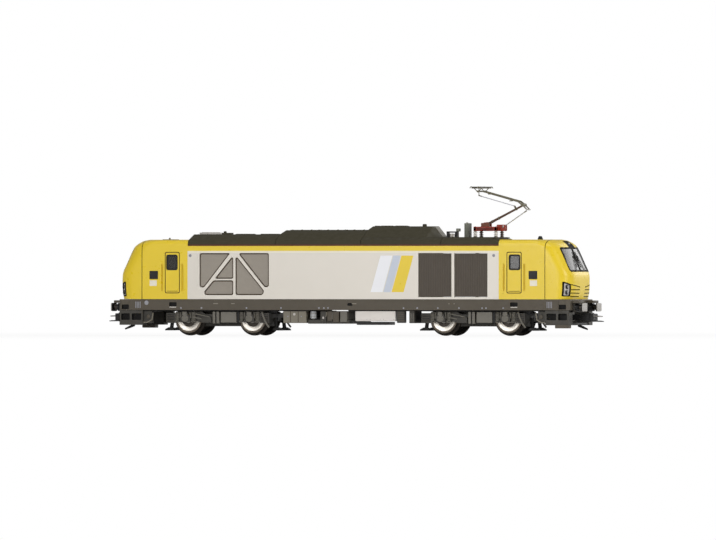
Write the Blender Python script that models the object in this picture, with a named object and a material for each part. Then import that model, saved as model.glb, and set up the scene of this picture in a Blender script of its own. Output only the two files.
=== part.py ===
"""Scale model (1:87) of a four-axle dual-mode locomotive, diesel and overhead electric.

Lengths are in millimetres and heights are above the rail top. X runs along the
locomotive, -Y is the side with end 2 (+X) on its right, and solid() turns everything into
Blender's metres, standing on the tips of the wheel flanges at z = 0.
"""
import math

import bmesh
import bpy
from mathutils import Matrix, Vector

MM = 0.001                      # Blender metres in one millimetre
GAP = 0.15                      # half of the gap between pieces that touch
RAIL_TOP = 1.1                  # flange depth: rail top above the flange tips

# ---- driving sizes ------------------------------------------------------------------
LENGTH = 229.6                  # over the buffer faces
WIDTH = 34.7                    # over the body sides
ROOF_HEIGHT = 42.9              # top of the cab roofs
OVERHANG = 52.65                # from a buffer face to the middle of the bogie
WHEELBASE = 31.3
WHEEL_DIAMETER = 12.64          # on the tread
BUFFER_HEIGHT = 12.0
BUFFER_SPACING = 20.1

HALF = WIDTH / 2
SPAN = LENGTH / 2
BOGIE_X = SPAN - OVERHANG
AXLE_Z = WHEEL_DIAMETER / 2

# ---- levels, from the wheels up -----------------------------------------------------
BOGIE_TOP = AXLE_Z + 3.68
SILL_BOTTOM = BOGIE_TOP + 0.65
FRAME_FLOOR = WHEEL_DIAMETER + RAIL_TOP + 0.66
SILL_TOP = FRAME_FLOOR + 1.1    # where body and frame meet

# ---- body ---------------------------------------------------------------------------
WALL = 1.5
CAB_SEAM = SPAN - 16.9          # where each nose joins the body
CAB_WALL = SPAN - 39.05         # where silver side and dark roof end
ROOF_EDGE = ROOF_HEIGHT - 2.75  # top of the side walls between the cabs
ROOF_RADIUS = 2.4               # of the cab roof's long edges
PAST = 5.0                      # how far a cutter reaches past what it cuts

DOOR_WINDOW = (CAB_WALL + 4.65, CAB_WALL + 10.35)
WINDOW_FOOT = ROOF_HEIGHT - 14.0
DOOR_WINDOW_TOP = ROOF_HEIGHT - 6.8
LINER_MARGIN = (1.0, 3.0)       # glazing below and above the windows

# nose plan at each height: where the front is on the centre line, where the sides start
# to turn in, and how square the corner is (exponent of a superellipse)
# columns: share of the height from sill to roof, front, shoulder, squareness
NOSE_PLANS = (
    (0.0, SPAN - 5.6, CAB_SEAM + 1.6, 3.8),
    (0.128, SPAN - 4.9, CAB_SEAM + 1.6, 3.8),
    (0.237, SPAN - 4.7, CAB_SEAM + 1.6, 3.8),
    (0.409, SPAN - 4.8, CAB_SEAM + 1.6, 3.8),
    (0.478, SPAN - 5.4, CAB_SEAM + 1.4, 3.8),
    (0.566, SPAN - 6.6, CAB_SEAM + 0.4, 3.8),
    (0.657, SPAN - 7.6, CAB_SEAM - 0.6, 3.5),
    (0.763, SPAN - 8.7, CAB_SEAM - 1.9, 3.2),
    (0.836, SPAN - 9.6, CAB_SEAM - 2.6, 3.0),
    (0.887, SPAN - 10.2, CAB_SEAM - 3.6, 2.8),
    (0.938, SPAN - 11.6, CAB_SEAM - 5.6, 2.5),
    (0.982, SPAN - 13.6, CAB_SEAM - 8.1, 2.2),
    (1.0, SPAN - 15.8, CAB_SEAM - 11.1, 2.1),
)
NOSE_STEPS = 9                  # points around each corner
NOSE_BACK = 14.0                # how far the nose volume starts behind the seam
WINDSCREEN = (ROOF_HEIGHT - 14.0, ROOF_HEIGHT - 4.1)
WINDSCREEN_HALF = (HALF - 4.95, HALF - 5.15)    # at the bottom and at the top
PILLAR_HALF = 0.6

# ---- side openings between the cabs -------------------------------------------------
OPENING_TOP = ROOF_EDGE - 3.4
GRILLE = (-CAB_WALL + 5.95, -CAB_WALL + 39.85, SILL_TOP + 2.0, OPENING_TOP)
# lattice: outline of each field between the bars, as shares of the grille along and up
LATTICE = (
    ((0.0, 0.19), (0.065, 0.175), (0.445, 1.0), (0.0, 1.0)),
    ((0.216, 0.388), (0.488, 0.388), (0.488, 0.885), (0.464, 0.905)),
    ((0.08, 0.0), (0.488, 0.0), (0.488, 0.352), (0.2, 0.352), (0.062, 0.075)),
    ((0.518, 0.0), (0.908, 0.0), (0.936, 0.095), (0.545, 0.905), (0.518, 0.885)),
    ((0.938, 0.18), (1.0, 0.2), (1.0, 1.0), (0.573, 1.0), (0.578, 0.945)),
)
GRILLE_DEPTH = 0.45             # mesh fields below the side's face
INSERT_WALL = 1.0
INSERT_LAP = 1.5                # insert behind the side, past the openings
# columns: start and end before the cab wall
LOUVRES = ((39.05, 22.95), (21.65, 5.55))
LOUVRE_DEPTH = 0.3
LOUVRE_WALL = 1.0

# ---- roof ---------------------------------------------------------------------------
DECK_LENGTH = 28.15
DECK_TOP = ROOF_HEIGHT + 1.0
DECK_SLOPE = 3.0                # length of the slope down to the cab roof
RISES = (2.45, 4.35, 6.1)       # of the three closed sections above the cab roofs
HOOD_LEDGE = 3.6                # flat at deck height between the exhaust hood and the deck
# columns: name, share of the roof before the deck at start and end, rise, length of the
# slope at its start and rise where that begins, the same at its end
ROOF_SECTIONS = (
    ("roof_radiator_section", 0.0, 0.347, RISES[0], 0.8, 0.0, 0.0, 0.0),
    ("roof_engine_section", 0.347, 0.684, RISES[1], 1.8, RISES[0], 0.0, 0.0),
    ("roof_exhaust_hood", 0.684, 1.0, RISES[2], 1.4, RISES[1], 4.2, 1.0),
)
CORNER_RUN = 0.43               # how far a slanted end falls back for each millimetre across
CORNER_FRONT = 3.0              # half width of its straight middle
ROOF_BAND = 2.1                 # upright foot of each roof section
ROOF_PITCH = 1.95               # run for each millimetre that the sides rise above it
HORN_X = CAB_SEAM - 8.2

# ---- frame and ends -----------------------------------------------------------------
FRAME_END = SPAN - 10.6
SKIRT = 1.5
BEAM_END = SPAN - 5.2
BEAM_CORNER = 3.0
PILOT_END = SPAN - 5.6
PILOT_TOP = SILL_BOTTOM - 2 * GAP
PILOT_STEP = (SPAN - 15.8, 3.8)         # start of a step box and its floor
PILOT_TREAD = (SPAN - 12.3, SPAN - 5.9, 2.4)
STEP_INNER = HALF - 6.0
COUPLER_PIN = SPAN - 9.5
COUPLER_LOW = 5.8
PIN_RADIUS = 0.9
PIN_ROOM = 0.3                  # between a pin and its hole
PIVOT_RADIUS = 1.6              # bogie pivot

# ---- running gear -------------------------------------------------------------------
WHEEL_WIDTH = 3.0
WHEEL_INNER = 7.0               # inner face of each wheel
AXLE_RADIUS = 1.2
ROUND_WHEEL = 32                # facets around a wheel
SIDE_FRAME_Y = (11.2, 14.3)
AXLE_BOX_PROUD = 0.8
GUARD_X = WHEELBASE / 2 + AXLE_Z + RAIL_TOP + 3.23      # rail guards, in front of the flanges
GUARD_Y = 5.2
GUARD_FOOT = 2.4                # half length of its foot
CASE_END = GUARD_X - 4.3
UNDERFLOOR_END = BOGIE_X - GUARD_X - 6.3
PILOT_BRACKET = (BOGIE_X + GUARD_X + 5.35, 4.6)

# ---- pantograph: pivots seen from the side, columns X, height ------------------------
PAN_FOOT = (CAB_WALL - 11.55, DECK_TOP + 6.0)
PAN_KNEE = (PAN_FOOT[0] + 17.5, PAN_FOOT[1] + 8.8)
PAN_TAIL = (PAN_FOOT[0] + 19.7, PAN_FOOT[1] + 6.7)
PAN_ROD_FOOT = (PAN_FOOT[0] + 8.0, PAN_FOOT[1] - 1.0)
PAN_HEAD = (PAN_FOOT[0] - 3.0, PAN_FOOT[1] + 15.0)
PAN_LINK_LOW = (PAN_FOOT[0] + 13.1, PAN_FOOT[1] + 8.2)
PAN_LINK_HIGH = (PAN_FOOT[0] - 4.2, PAN_FOOT[1] + 13.0)
LINK_Y = 1.3                    # the levelling rod runs beside the lower arm
PAN_BASE = (PAN_FOOT[0] - 5.2, PAN_FOOT[0] + 6.2)
PAN_BASE_HALF = 4.9
PAN_FRAME = (DECK_TOP + 2.8, DECK_TOP + 4.9)

COLOURS = {                     # red, green, blue, roughness, metallic
    "yellow_paint": (0.76, 0.56, 0.06, 0.4, 0.0),
    "silver_paint": (0.68, 0.65, 0.6, 0.4, 0.2),
    "dark_grey": (0.085, 0.072, 0.06, 0.55, 0.0),
    "roof_grey": (0.062, 0.055, 0.04, 0.6, 0.0),
    "mesh_grey": (0.3, 0.28, 0.24, 0.6, 0.1),
    "bogie_grey": (0.045, 0.042, 0.038, 0.6, 0.0),
    "black_plastic": (0.012, 0.012, 0.012, 0.5, 0.0),
    "nickel": (0.72, 0.68, 0.62, 0.25, 1.0),
    "tinted_glass": (0.06, 0.06, 0.07, 0.1, 0.0),
    "tank_grey": (0.2, 0.18, 0.16, 0.5, 0.0),
    "light_grey": (0.6, 0.58, 0.55, 0.4, 0.0),
    "red_oxide": (0.27, 0.035, 0.02, 0.5, 0.0),
    "arm_grey": (0.14, 0.13, 0.1, 0.4, 0.6),
    "cast_metal": (0.2, 0.2, 0.21, 0.5, 1.0),
}


# ---- tools --------------------------------------------------------------------------
def clear_scene():
    for old in list(bpy.data.objects):
        bpy.data.objects.remove(old, do_unlink=True)


def material(name):
    known = bpy.data.materials.get(name)
    if known:
        return known
    red, green, blue, roughness, metallic = COLOURS[name]
    made = bpy.data.materials.new(name)
    made.use_nodes = True
    shader = made.node_tree.nodes["Principled BSDF"]
    shader.inputs["Base Color"].default_value = (red, green, blue, 1.0)
    shader.inputs["Roughness"].default_value = roughness
    shader.inputs["Metallic"].default_value = metallic
    made.diffuse_color = (red, green, blue, 1.0)
    return made


def mesh_object(name, bm):
    """An object in millimetres, above the rail top, that solid() or a cut finishes."""
    bmesh.ops.recalc_face_normals(bm, faces=bm.faces)
    mesh = bpy.data.meshes.new(name)
    bm.to_mesh(mesh)
    bm.free()
    made = bpy.data.objects.new(name, mesh)
    bpy.context.collection.objects.link(made)
    return made


def loft(rings):
    """A closed solid through rings with the same number of points, capped at both ends."""
    bm = bmesh.new()
    rows = [[bm.verts.new(point) for point in ring] for ring in rings]
    count = len(rows[0])
    for lower, upper in zip(rows, rows[1:]):
        for i in range(count):
            j = (i + 1) % count
            bm.faces.new((lower[i], lower[j], upper[j], upper[i]))
    bm.faces.new(list(reversed(rows[0])))
    bm.faces.new(rows[-1])
    return mesh_object("loft", bm)


def block(x, y, z):
    """A box from its three ranges."""
    corners = ((x[0], y[0]), (x[1], y[0]), (x[1], y[1]), (x[0], y[1]))
    return loft([[(cx, cy, height) for cx, cy in corners] for height in z])


def prism(outline, across, axis="Y"):
    """An outline pulled along an axis: (x, z) along Y, (y, z) along X, (x, y) along Z."""
    place = {
        "X": lambda a, b, c: (c, a, b),
        "Y": lambda a, b, c: (a, c, b),
        "Z": lambda a, b, c: (a, b, c),
    }[axis]
    return loft([[place(a, b, c) for a, b in outline] for c in across])


def turned(profile, centre, axis="Y", facets=24):
    """A closed turned solid. profile is (radius, distance along the axis), outer side."""
    place = {
        "X": lambda a, b, c: (c, a, b),
        "Y": lambda a, b, c: (a, c, b),
        "Z": lambda a, b, c: (a, b, c),
    }[axis]
    rings = []
    for radius, along in profile:
        ring = []
        for i in range(facets):
            angle = 2 * math.pi * (i + 0.5) / facets
            offset = place(radius * math.cos(angle), radius * math.sin(angle), along)
            ring.append(tuple(c + o for c, o in zip(centre, offset)))
        rings.append(ring)
    return loft(rings)


def rod(start, end, radius, facets=8):
    """A round bar between two points."""
    first, last = Vector(start), Vector(end)
    turn = (last - first).to_track_quat("Z", "Y").to_matrix()
    rings = []
    for point in (first, last):
        ring = []
        for i in range(facets):
            angle = 2 * math.pi * (i + 0.5) / facets
            spoke = turn @ Vector((radius * math.cos(angle), radius * math.sin(angle), 0))
            ring.append(tuple(point + spoke))
        rings.append(ring)
    return loft(rings)


def combine(base, others, operation):
    """Boolean of base with several others, which are used up."""
    group = bpy.data.collections.new("operands")
    for other in others:
        bpy.context.collection.objects.unlink(other)
        group.objects.link(other)
    change = base.modifiers.new("change", "BOOLEAN")
    change.operation = operation
    change.solver = "EXACT"
    change.operand_type = "COLLECTION"
    change.collection = group
    result = base.evaluated_get(bpy.context.evaluated_depsgraph_get())
    mesh = bpy.data.meshes.new_from_object(result)
    base.modifiers.clear()
    base.data = mesh
    for other in others:
        bpy.data.objects.remove(other, do_unlink=True)
    bpy.data.collections.remove(group)
    return base


def cut(base, *others):
    return combine(base, others, "DIFFERENCE")


def join(base, *others):
    return combine(base, others, "UNION")


def keep(base, *others):
    return combine(base, others, "INTERSECT")


def solid(name, part, colour, pivot=(0.0, 0.0, -RAIL_TOP), smooth=False):
    """Names a finished piece, moves its origin to pivot and turns it into metres."""
    middle = Vector(pivot)
    part.data.transform(Matrix.Scale(MM, 4) @ Matrix.Translation(-middle))
    part.location = (middle + Vector((0, 0, RAIL_TOP))) * MM
    part.name = name
    part.data.name = name
    part.data.materials.clear()
    part.data.materials.append(material(colour))
    if smooth:
        part.data.shade_smooth()
        part.data.set_sharp_from_angle(angle=math.radians(30))
    return part


def mirrored(ranges, end):
    """A range along X, moved to end 1 (end = -1) or left at end 2 (end = 1)."""
    return tuple(sorted(end * value for value in ranges))


def flipped(outline, end):
    return [(end * a, b) for a, b in outline]


def handed(side, inner, outer):
    """A range along Y on one side, from its distances to the middle."""
    return tuple(sorted((side * inner, side * outer)))


def inset_outline(outline, distance):
    """A convex outline, counterclockwise, with every edge moved in."""
    corners = [Vector(corner) for corner in outline]
    count = len(corners)
    moved = []
    for i in range(count):
        before = (corners[i] - corners[i - 1]).normalized()
        after = (corners[(i + 1) % count] - corners[i]).normalized()
        share = distance / (1 + before.dot(after))
        inward = Vector((-before.y - after.y, before.x + after.x))
        moved.append(tuple(corners[i] + inward * share))
    return moved


# ---- body ---------------------------------------------------------------------------
def roof_half_width(height):
    """Half the body's width at a height, with the cab roof's rounded edge."""
    start = ROOF_HEIGHT - ROOF_RADIUS
    if height <= start:
        return HALF
    rise = min(height - start, ROOF_RADIUS)
    return HALF - ROOF_RADIUS + math.sqrt(ROOF_RADIUS ** 2 - rise ** 2)


def nose_side(plan, inset):
    """Height and points (x, y) of one nose plan, from the shoulder to the front."""
    share, front, shoulder, squareness = plan
    full = ROOF_HEIGHT - SILL_TOP
    half = roof_half_width(SILL_TOP + share * full) - inset
    turn = shoulder - inset / 2
    reach = front - inset - turn
    points = []
    for i in range(NOSE_STEPS):
        angle = math.pi / 2 * i / NOSE_STEPS
        points.append((turn + reach * math.sin(angle) ** (2 / squareness),
                       half * math.cos(angle) ** (2 / squareness)))
    return SILL_TOP + share * (full - inset), points + [(turn + reach, 0.0)]


def nose_volume(end, inset, back, bottom):
    """The closed volume of one cab, moved in by inset, from back to the nose."""
    rings = []
    for plan in NOSE_PLANS:
        height, side = nose_side(plan, inset)
        side = [(back, side[0][1])] + side
        ring = side + [(x, -y) for x, y in reversed(side[:-1])]
        level = height if rings else bottom
        rings.append([(end * x, y, level) for x, y in ring])
    return loft(rings)


def body_volume(bottom):
    """The closed volume of the whole body, both noses included."""
    rings = []
    for plan in NOSE_PLANS:
        height, side = nose_side(plan, 0)
        nose = side + [(x, -y) for x, y in reversed(side[:-1])]
        ring = nose + [(-x, -y) for x, y in nose]
        level = height if rings else bottom
        rings.append([(x, y, level) for x, y in ring])
    return loft(rings)


def window_cutters(end, shrink):
    """Prisms through both halves of the windscreen, made smaller by shrink."""
    low, high = WINDSCREEN
    wide_low, wide_high = WINDSCREEN_HALF
    half = [(PILLAR_HALF + shrink, low + shrink), (wide_low - shrink, low + shrink),
            (wide_high - shrink, high - shrink), (PILLAR_HALF + shrink, high - shrink)]
    reach = mirrored((CAB_SEAM - PAST, SPAN), end)
    return [prism([(side * y, z) for y, z in half], reach, "X") for side in (-1, 1)]


def door_window_cutter(end, shrink):
    x = mirrored((DOOR_WINDOW[0] + shrink, DOOR_WINDOW[1] - shrink), end)
    z = (WINDOW_FOOT + shrink, DOOR_WINDOW_TOP - shrink)
    return block(x, (-HALF - PAST, HALF + PAST), z)


def lattice_outlines(shrink):
    """The lattice fields (x, z), counterclockwise, made smaller by shrink."""
    start, stop, low, high = GRILLE
    outlines = []
    for field in LATTICE:
        outline = [(start + (stop - start) * along, low + (high - low) * up)
                   for along, up in field]
        outlines.append(inset_outline(outline, shrink))
    return outlines


def louvre_ranges():
    """Each louvre opening's range along X."""
    return [(CAB_WALL - start, CAB_WALL - stop) for start, stop in LOUVRES]


def build_body_shell():
    shell = body_volume(SILL_TOP + GAP)
    middle = CAB_WALL - GAP
    across = (-HALF - PAST, HALF + PAST)
    cutters = [
        block((-middle, middle), across, (ROOF_EDGE - GAP, ROOF_HEIGHT + PAST)),
        block((-middle, middle), (-HALF + WALL, HALF - WALL), (SILL_TOP - PAST, ROOF_HEIGHT)),
    ]
    for end in (-1, 1):
        cutters.append(block(mirrored((CAB_SEAM - GAP, SPAN), end), across,
                             (SILL_TOP - PAST, ROOF_HEIGHT + PAST)))
        cutters.append(nose_volume(end, WALL, CAB_WALL + WALL, SILL_TOP - PAST))
        cutters.append(door_window_cutter(end, 0))
    cutters += [prism(outline, across) for outline in lattice_outlines(0)]
    for start, stop in louvre_ranges():
        cutters.append(block((start, stop), across, (SILL_TOP + 1.1, OPENING_TOP)))
    return solid("body_shell", cut(shell, *cutters), "silver_paint", smooth=True)


def build_nose_shell(end, number):
    back = CAB_SEAM - NOSE_BACK
    shell = nose_volume(end, 0, back, SILL_TOP + GAP)
    inside = nose_volume(end, WALL, back - PAST, SILL_TOP - PAST)
    behind = block(mirrored((back - 2 * PAST, CAB_SEAM + GAP), end),
                   (-HALF - PAST, HALF + PAST), (SILL_TOP - PAST, ROOF_HEIGHT + PAST))
    cutters = [inside, behind] + window_cutters(end, 0)
    return solid(f"nose_shell_{number}", cut(shell, *cutters), "yellow_paint", smooth=True)


def build_cab_glazing(end, number):
    """One clear insert: panes that fill the openings, carried by a liner inside."""
    back = DOOR_WINDOW[0] - LINER_MARGIN[0]
    low = WINDOW_FOOT - LINER_MARGIN[0]
    high = DOOR_WINDOW_TOP + LINER_MARGIN[1]
    liner = nose_volume(end, WALL + 2 * GAP, back, SILL_TOP)
    skin = nose_volume(end, GAP, back, SILL_TOP)
    openings = window_cutters(end, 2 * GAP) + [door_window_cutter(end, 2 * GAP)]
    panes = keep(skin, join(openings[0], *openings[1:]))
    hollow = nose_volume(end, WALL + INSERT_WALL, back - PAST, SILL_TOP - PAST)
    reach = mirrored((back - PAST, SPAN), end)
    across = (-HALF - PAST, HALF + PAST)
    below = block(reach, across, (SILL_TOP - 2 * PAST, low))
    above = block(reach, across, (high, ROOF_HEIGHT + PAST))
    insert = cut(join(liner, panes), hollow, below, above)
    return solid(f"cab_glazing_{number}", insert, "tinted_glass")


def climbed(height, start, top):
    """Share of the way from start to top that a height has reached."""
    return min(max((height - start) / (top - start), 0.0), 1.0)


def build_roof_section(name, start, stop, top, slope_start, foot_start, slope_stop, foot_stop,
                       ledge=0.0):
    """A roof section: upright foot, pitched sides, slanted ends, the last with cut corners."""
    base = ROOF_EDGE + GAP
    band = base + ROOF_BAND
    foot_start, foot_stop = max(foot_start, band), max(foot_stop, band)
    split = foot_stop if slope_stop else top
    lower, upper = [], []
    for height in sorted({base, band, foot_start, foot_stop, top}):
        x0 = start + GAP + slope_start * climbed(height, foot_start, top)
        x1 = stop - GAP
        y = HALF - 0.4 - ROOF_PITCH * max(height - band, 0.0)
        if height <= split:
            lower.append([(x0, -y, height), (x1, -y, height), (x1, y, height), (x0, y, height)])
        if slope_stop and height >= split:
            front = x1 - ledge - slope_stop * climbed(height, foot_stop, top)
            back = front - CORNER_RUN * (y - CORNER_FRONT)
            outline = [(x0, -y), (back, -y), (front, -CORNER_FRONT), (front, CORNER_FRONT),
                       (back, y), (x0, y)]
            if not upper:
                upper.append([(a, b, height - GAP) for a, b in outline])
            upper.append([(a, b, height) for a, b in outline])
    pieces = [loft(rings) for rings in (lower, upper) if rings]
    return solid(name, join(*pieces), "roof_grey")


def build_roof():
    start = -CAB_WALL + GAP
    deck_start = CAB_WALL - GAP - DECK_LENGTH
    room = deck_start - start
    for name, first, last, rise, slope_start, rise_start, slope_stop, rise_stop in ROOF_SECTIONS:
        build_roof_section(name, start + room * first, start + room * last,
                           ROOF_HEIGHT + rise, slope_start, ROOF_HEIGHT + rise_start,
                           slope_stop, ROOF_HEIGHT + rise_stop, HOOD_LEDGE)
    build_roof_section("roof_pantograph_deck", deck_start, CAB_WALL - GAP, DECK_TOP,
                       0.0, 0.0, DECK_SLOPE, 0.0)


def build_side_grille(side, word):
    """Insert behind the lattice, with a raised mesh field in each opening."""
    start, stop, low, high = GRILLE
    back = HALF - WALL - GAP
    panel = block((start - INSERT_LAP, stop + INSERT_LAP), handed(side, back - INSERT_WALL, back),
                  (low - INSERT_LAP, high + INSERT_LAP))
    across = handed(side, back - INSERT_WALL / 2, HALF - GRILLE_DEPTH)
    fields = [prism(outline, across) for outline in lattice_outlines(GAP)]
    return solid(f"side_grille_{word}", join(panel, *fields), "mesh_grey")


def build_louvre_panel(number, ends, side, word):
    x = (ends[0] + GAP, ends[1] - GAP)
    z = (SILL_TOP + 1.1 + GAP, OPENING_TOP - GAP)
    face = HALF - LOUVRE_DEPTH
    panel = block(x, handed(side, face - LOUVRE_WALL, face), z)
    return solid(f"louvre_panel_{number}_{word}", panel, "dark_grey")


def build_cab_interior(end, number):
    """Floor, desk and two seats in one moulding."""
    room = HALF - WALL - INSERT_WALL - 1.5
    floor = block(mirrored((CAB_WALL + WALL + 1, CAB_SEAM + 8.5 - WALL), end), (-room, room),
                  (SILL_TOP + 0.6, SILL_TOP + 2.2))
    desk = block(mirrored((CAB_SEAM + 1, CAB_SEAM + 8 - WALL), end), (2 - room, room - 2),
                 (SILL_TOP + 1, WINDOW_FOOT - 2.9))
    seats = []
    for side in (-1, 1):
        y = handed(side, room / 2 - 2.5, room / 2 + 2.5)
        seats.append(block(mirrored((CAB_SEAM - 9, CAB_SEAM - 4), end), y,
                           (SILL_TOP + 1, SILL_TOP + 7.5)))
        seats.append(block(mirrored((CAB_SEAM - 10, CAB_SEAM - 8.4), end), y,
                           (SILL_TOP + 1, SILL_TOP + 13.5)))
    return solid(f"cab_interior_{number}", join(floor, desk, *seats), "black_plastic")


def build_motor_block():
    """The model's motor and ballast as one heavy block on the frame."""
    lump = block((GRILLE[1] + 4, CAB_WALL - LOUVRES[0][0] - 4), (-HALF + 6.35, HALF - 6.35),
                 (SILL_TOP + GAP, ROOF_EDGE - 6.0))
    return solid("motor_block", lump, "cast_metal")


# ---- frame and ends -----------------------------------------------------------------
def build_chassis_frame():
    """Floor plate with the deep sill down both sides and a pivot for each bogie."""
    half = HALF - 0.25
    sill = block((-FRAME_END, FRAME_END), (-half, half), (SILL_BOTTOM, SILL_TOP - GAP))
    inside = block((-FRAME_END - PAST, FRAME_END + PAST), (-half + SKIRT, half - SKIRT),
                   (SILL_BOTTOM - PAST, FRAME_FLOOR))
    frame = cut(sill, inside)
    pivots = []
    for end in (-1, 1):
        profile = [(PIVOT_RADIUS, FRAME_FLOOR - 3.0), (PIVOT_RADIUS, FRAME_FLOOR + 0.5)]
        pivots.append(turned(profile, (end * BOGIE_X, 0.0, 0.0), "Z", 16))
    return solid("chassis_frame", join(frame, *pivots), "dark_grey")


def build_buffer_beam(end, number):
    """Solid end of the frame, with a cover plate over each buffer."""
    x0, x1 = FRAME_END + 2 * GAP, BEAM_END
    half = HALF - 0.4
    outline = [(x0, -half), (x1 - BEAM_CORNER, -half), (x1, -half + BEAM_CORNER),
               (x1, half - BEAM_CORNER), (x1 - BEAM_CORNER, half), (x0, half)]
    beam = prism(flipped(outline, end), (SILL_BOTTOM, SILL_TOP - GAP), "Z")
    middle = BUFFER_SPACING / 2
    covers = []
    for side in (-1, 1):
        covers.append(block(mirrored((x1 - 2, SPAN - 1.6), end),
                            handed(side, middle - 3.4, middle + 3.4),
                            (SILL_TOP - 1.1, SILL_TOP - 0.2)))
    return solid(f"buffer_beam_{number}", join(beam, *covers), "dark_grey")


def build_buffer(end, side, name):
    """Socket, plunger and rectangular head in one piece."""
    centre = (0.0, side * BUFFER_SPACING / 2, BUFFER_HEIGHT)
    base = BEAM_END + 2 * GAP
    socket = turned([(2.0, end * base), (2.0, end * (SPAN - 2.6))], centre, "X", 16)
    plunger = turned([(1.4, end * (SPAN - 3.2)), (1.4, end * (SPAN - 0.4))], centre, "X", 16)
    y, z = centre[1], centre[2]
    head = block(mirrored((SPAN - 0.9, SPAN), end), (y - 3.2, y + 3.2), (z - 1.9, z + 1.9))
    flange = block(mirrored((base, base + 0.8), end), (y - 2.6, y + 2.6), (z - 2.3, z + 2.3))
    return solid(name, join(socket, plunger, head, flange), "black_plastic")


def build_pilot(end, number):
    """Below the buffer beam: two step boxes, one with a lower tread, pin and front plate."""
    start, low = PILOT_STEP
    tread_start, tread_end, tread_low = PILOT_TREAD
    bracket_start, bracket_low = PILOT_BRACKET
    half = HALF - 0.6
    inner = STEP_INNER
    pieces = []
    recesses = []
    pieces.append(block(mirrored((tread_start, tread_end), end),
                        handed(-end, inner + 1, half), (tread_low, low + 0.5)))
    for side in (-1, 1):
        pieces.append(block(mirrored((start, PILOT_END), end), handed(side, inner, half),
                            (low, PILOT_TOP)))
        pieces.append(block(mirrored((bracket_start, start + 1), end),
                            handed(side, inner + 1.5, half - 1.5), (bracket_low, PILOT_TOP)))
        middle = (start + PILOT_END) / 2
        for first, last in ((start + 1.2, middle - 0.6), (middle + 0.6, PILOT_END - 1.2)):
            recesses.append(block(mirrored((first, last), end), handed(side, half - 1.2, half + 1),
                                  (low + 1.4, PILOT_TOP - 1.4)))
    top_plate = (PILOT_TOP - 0.8, PILOT_TOP)
    pieces.append(block(mirrored((start, PILOT_END), end), (-half + 1, half - 1), top_plate))
    pieces.append(block(mirrored((PILOT_END - 1.5, PILOT_END - 0.3), end),
                        (-half + 1, half - 1), (low, COUPLER_LOW - 0.9)))
    pin = [(PIN_RADIUS, COUPLER_LOW), (PIN_RADIUS, PILOT_TOP - 0.2)]
    pieces.append(turned(pin, (end * COUPLER_PIN, 0.0, 0.0), "Z", 12))
    part = cut(join(pieces[0], *pieces[1:]), *recesses)
    return solid(f"pilot_{number}", part, "bogie_grey")


def build_coupler(end, number):
    """Coupler on its drawbar, with loop, hook and trip arm, turning on a pin."""
    low, high = COUPLER_LOW, COUPLER_LOW + 3.2
    bar = block(mirrored((COUPLER_PIN - 1.8, SPAN - 1.0), end), (-2.0, 2.0), (low, high))
    head = block(mirrored((SPAN - 4.2, SPAN + 1.6), end), (-3.4, 3.4), (low - 0.6, high + 0.6))
    hook = block(mirrored((SPAN + 1.0, SPAN + 5.6), end), (-1.0, 1.0), (low - 0.5, low + 0.3))
    loop = block(mirrored((SPAN + 1.0, SPAN + 4.2), end), (-3.2, 3.2), (low + 1.7, low + 2.2))
    trip = prism(flipped([(SPAN - 3.4, low), (SPAN - 2.4, low), (SPAN - 1.6, 2.0),
                          (SPAN - 2.4, 2.0)], end), (-0.5, 0.5))
    eye = block(mirrored((SPAN + 1.9, SPAN + 3.5), end), (-2.5, 2.5), (low + 1.2, low + 2.7))
    hole = turned([(PIN_RADIUS + PIN_ROOM, low - 1), (PIN_RADIUS + PIN_ROOM, high + 1)],
                  (end * COUPLER_PIN, 0.0, 0.0), "Z", 12)
    part = join(cut(join(bar, head, loop), eye, hole), hook, trip)
    return solid(f"coupler_{number}", part, "black_plastic",
                 (end * COUPLER_PIN, 0.0, COUPLER_LOW + 1.6))


# ---- running gear -------------------------------------------------------------------
def build_wheelset(x, name):
    """Axle and both wheels, turning together."""
    radius = WHEEL_DIAMETER / 2
    flange = radius + RAIL_TOP
    inner, outer = WHEEL_INNER, WHEEL_INNER + WHEEL_WIDTH
    rim = radius - 1.5
    half = [(AXLE_RADIUS, inner + 0.5), (rim, inner + 0.5), (rim, inner), (flange, inner),
            (flange, inner + 0.6), (radius + 0.2, inner + 1.0), (radius, outer),
            (rim, outer), (rim - 0.3, outer - 0.8), (2.2, outer - 0.8), (1.6, outer + 0.3)]
    profile = [(r, -d) for r, d in reversed(half)] + half
    axle = turned(profile, (x, 0.0, AXLE_Z), "Y", ROUND_WHEEL)
    return solid(name, axle, "nickel", (x, 0.0, AXLE_Z), smooth=True)


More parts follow.
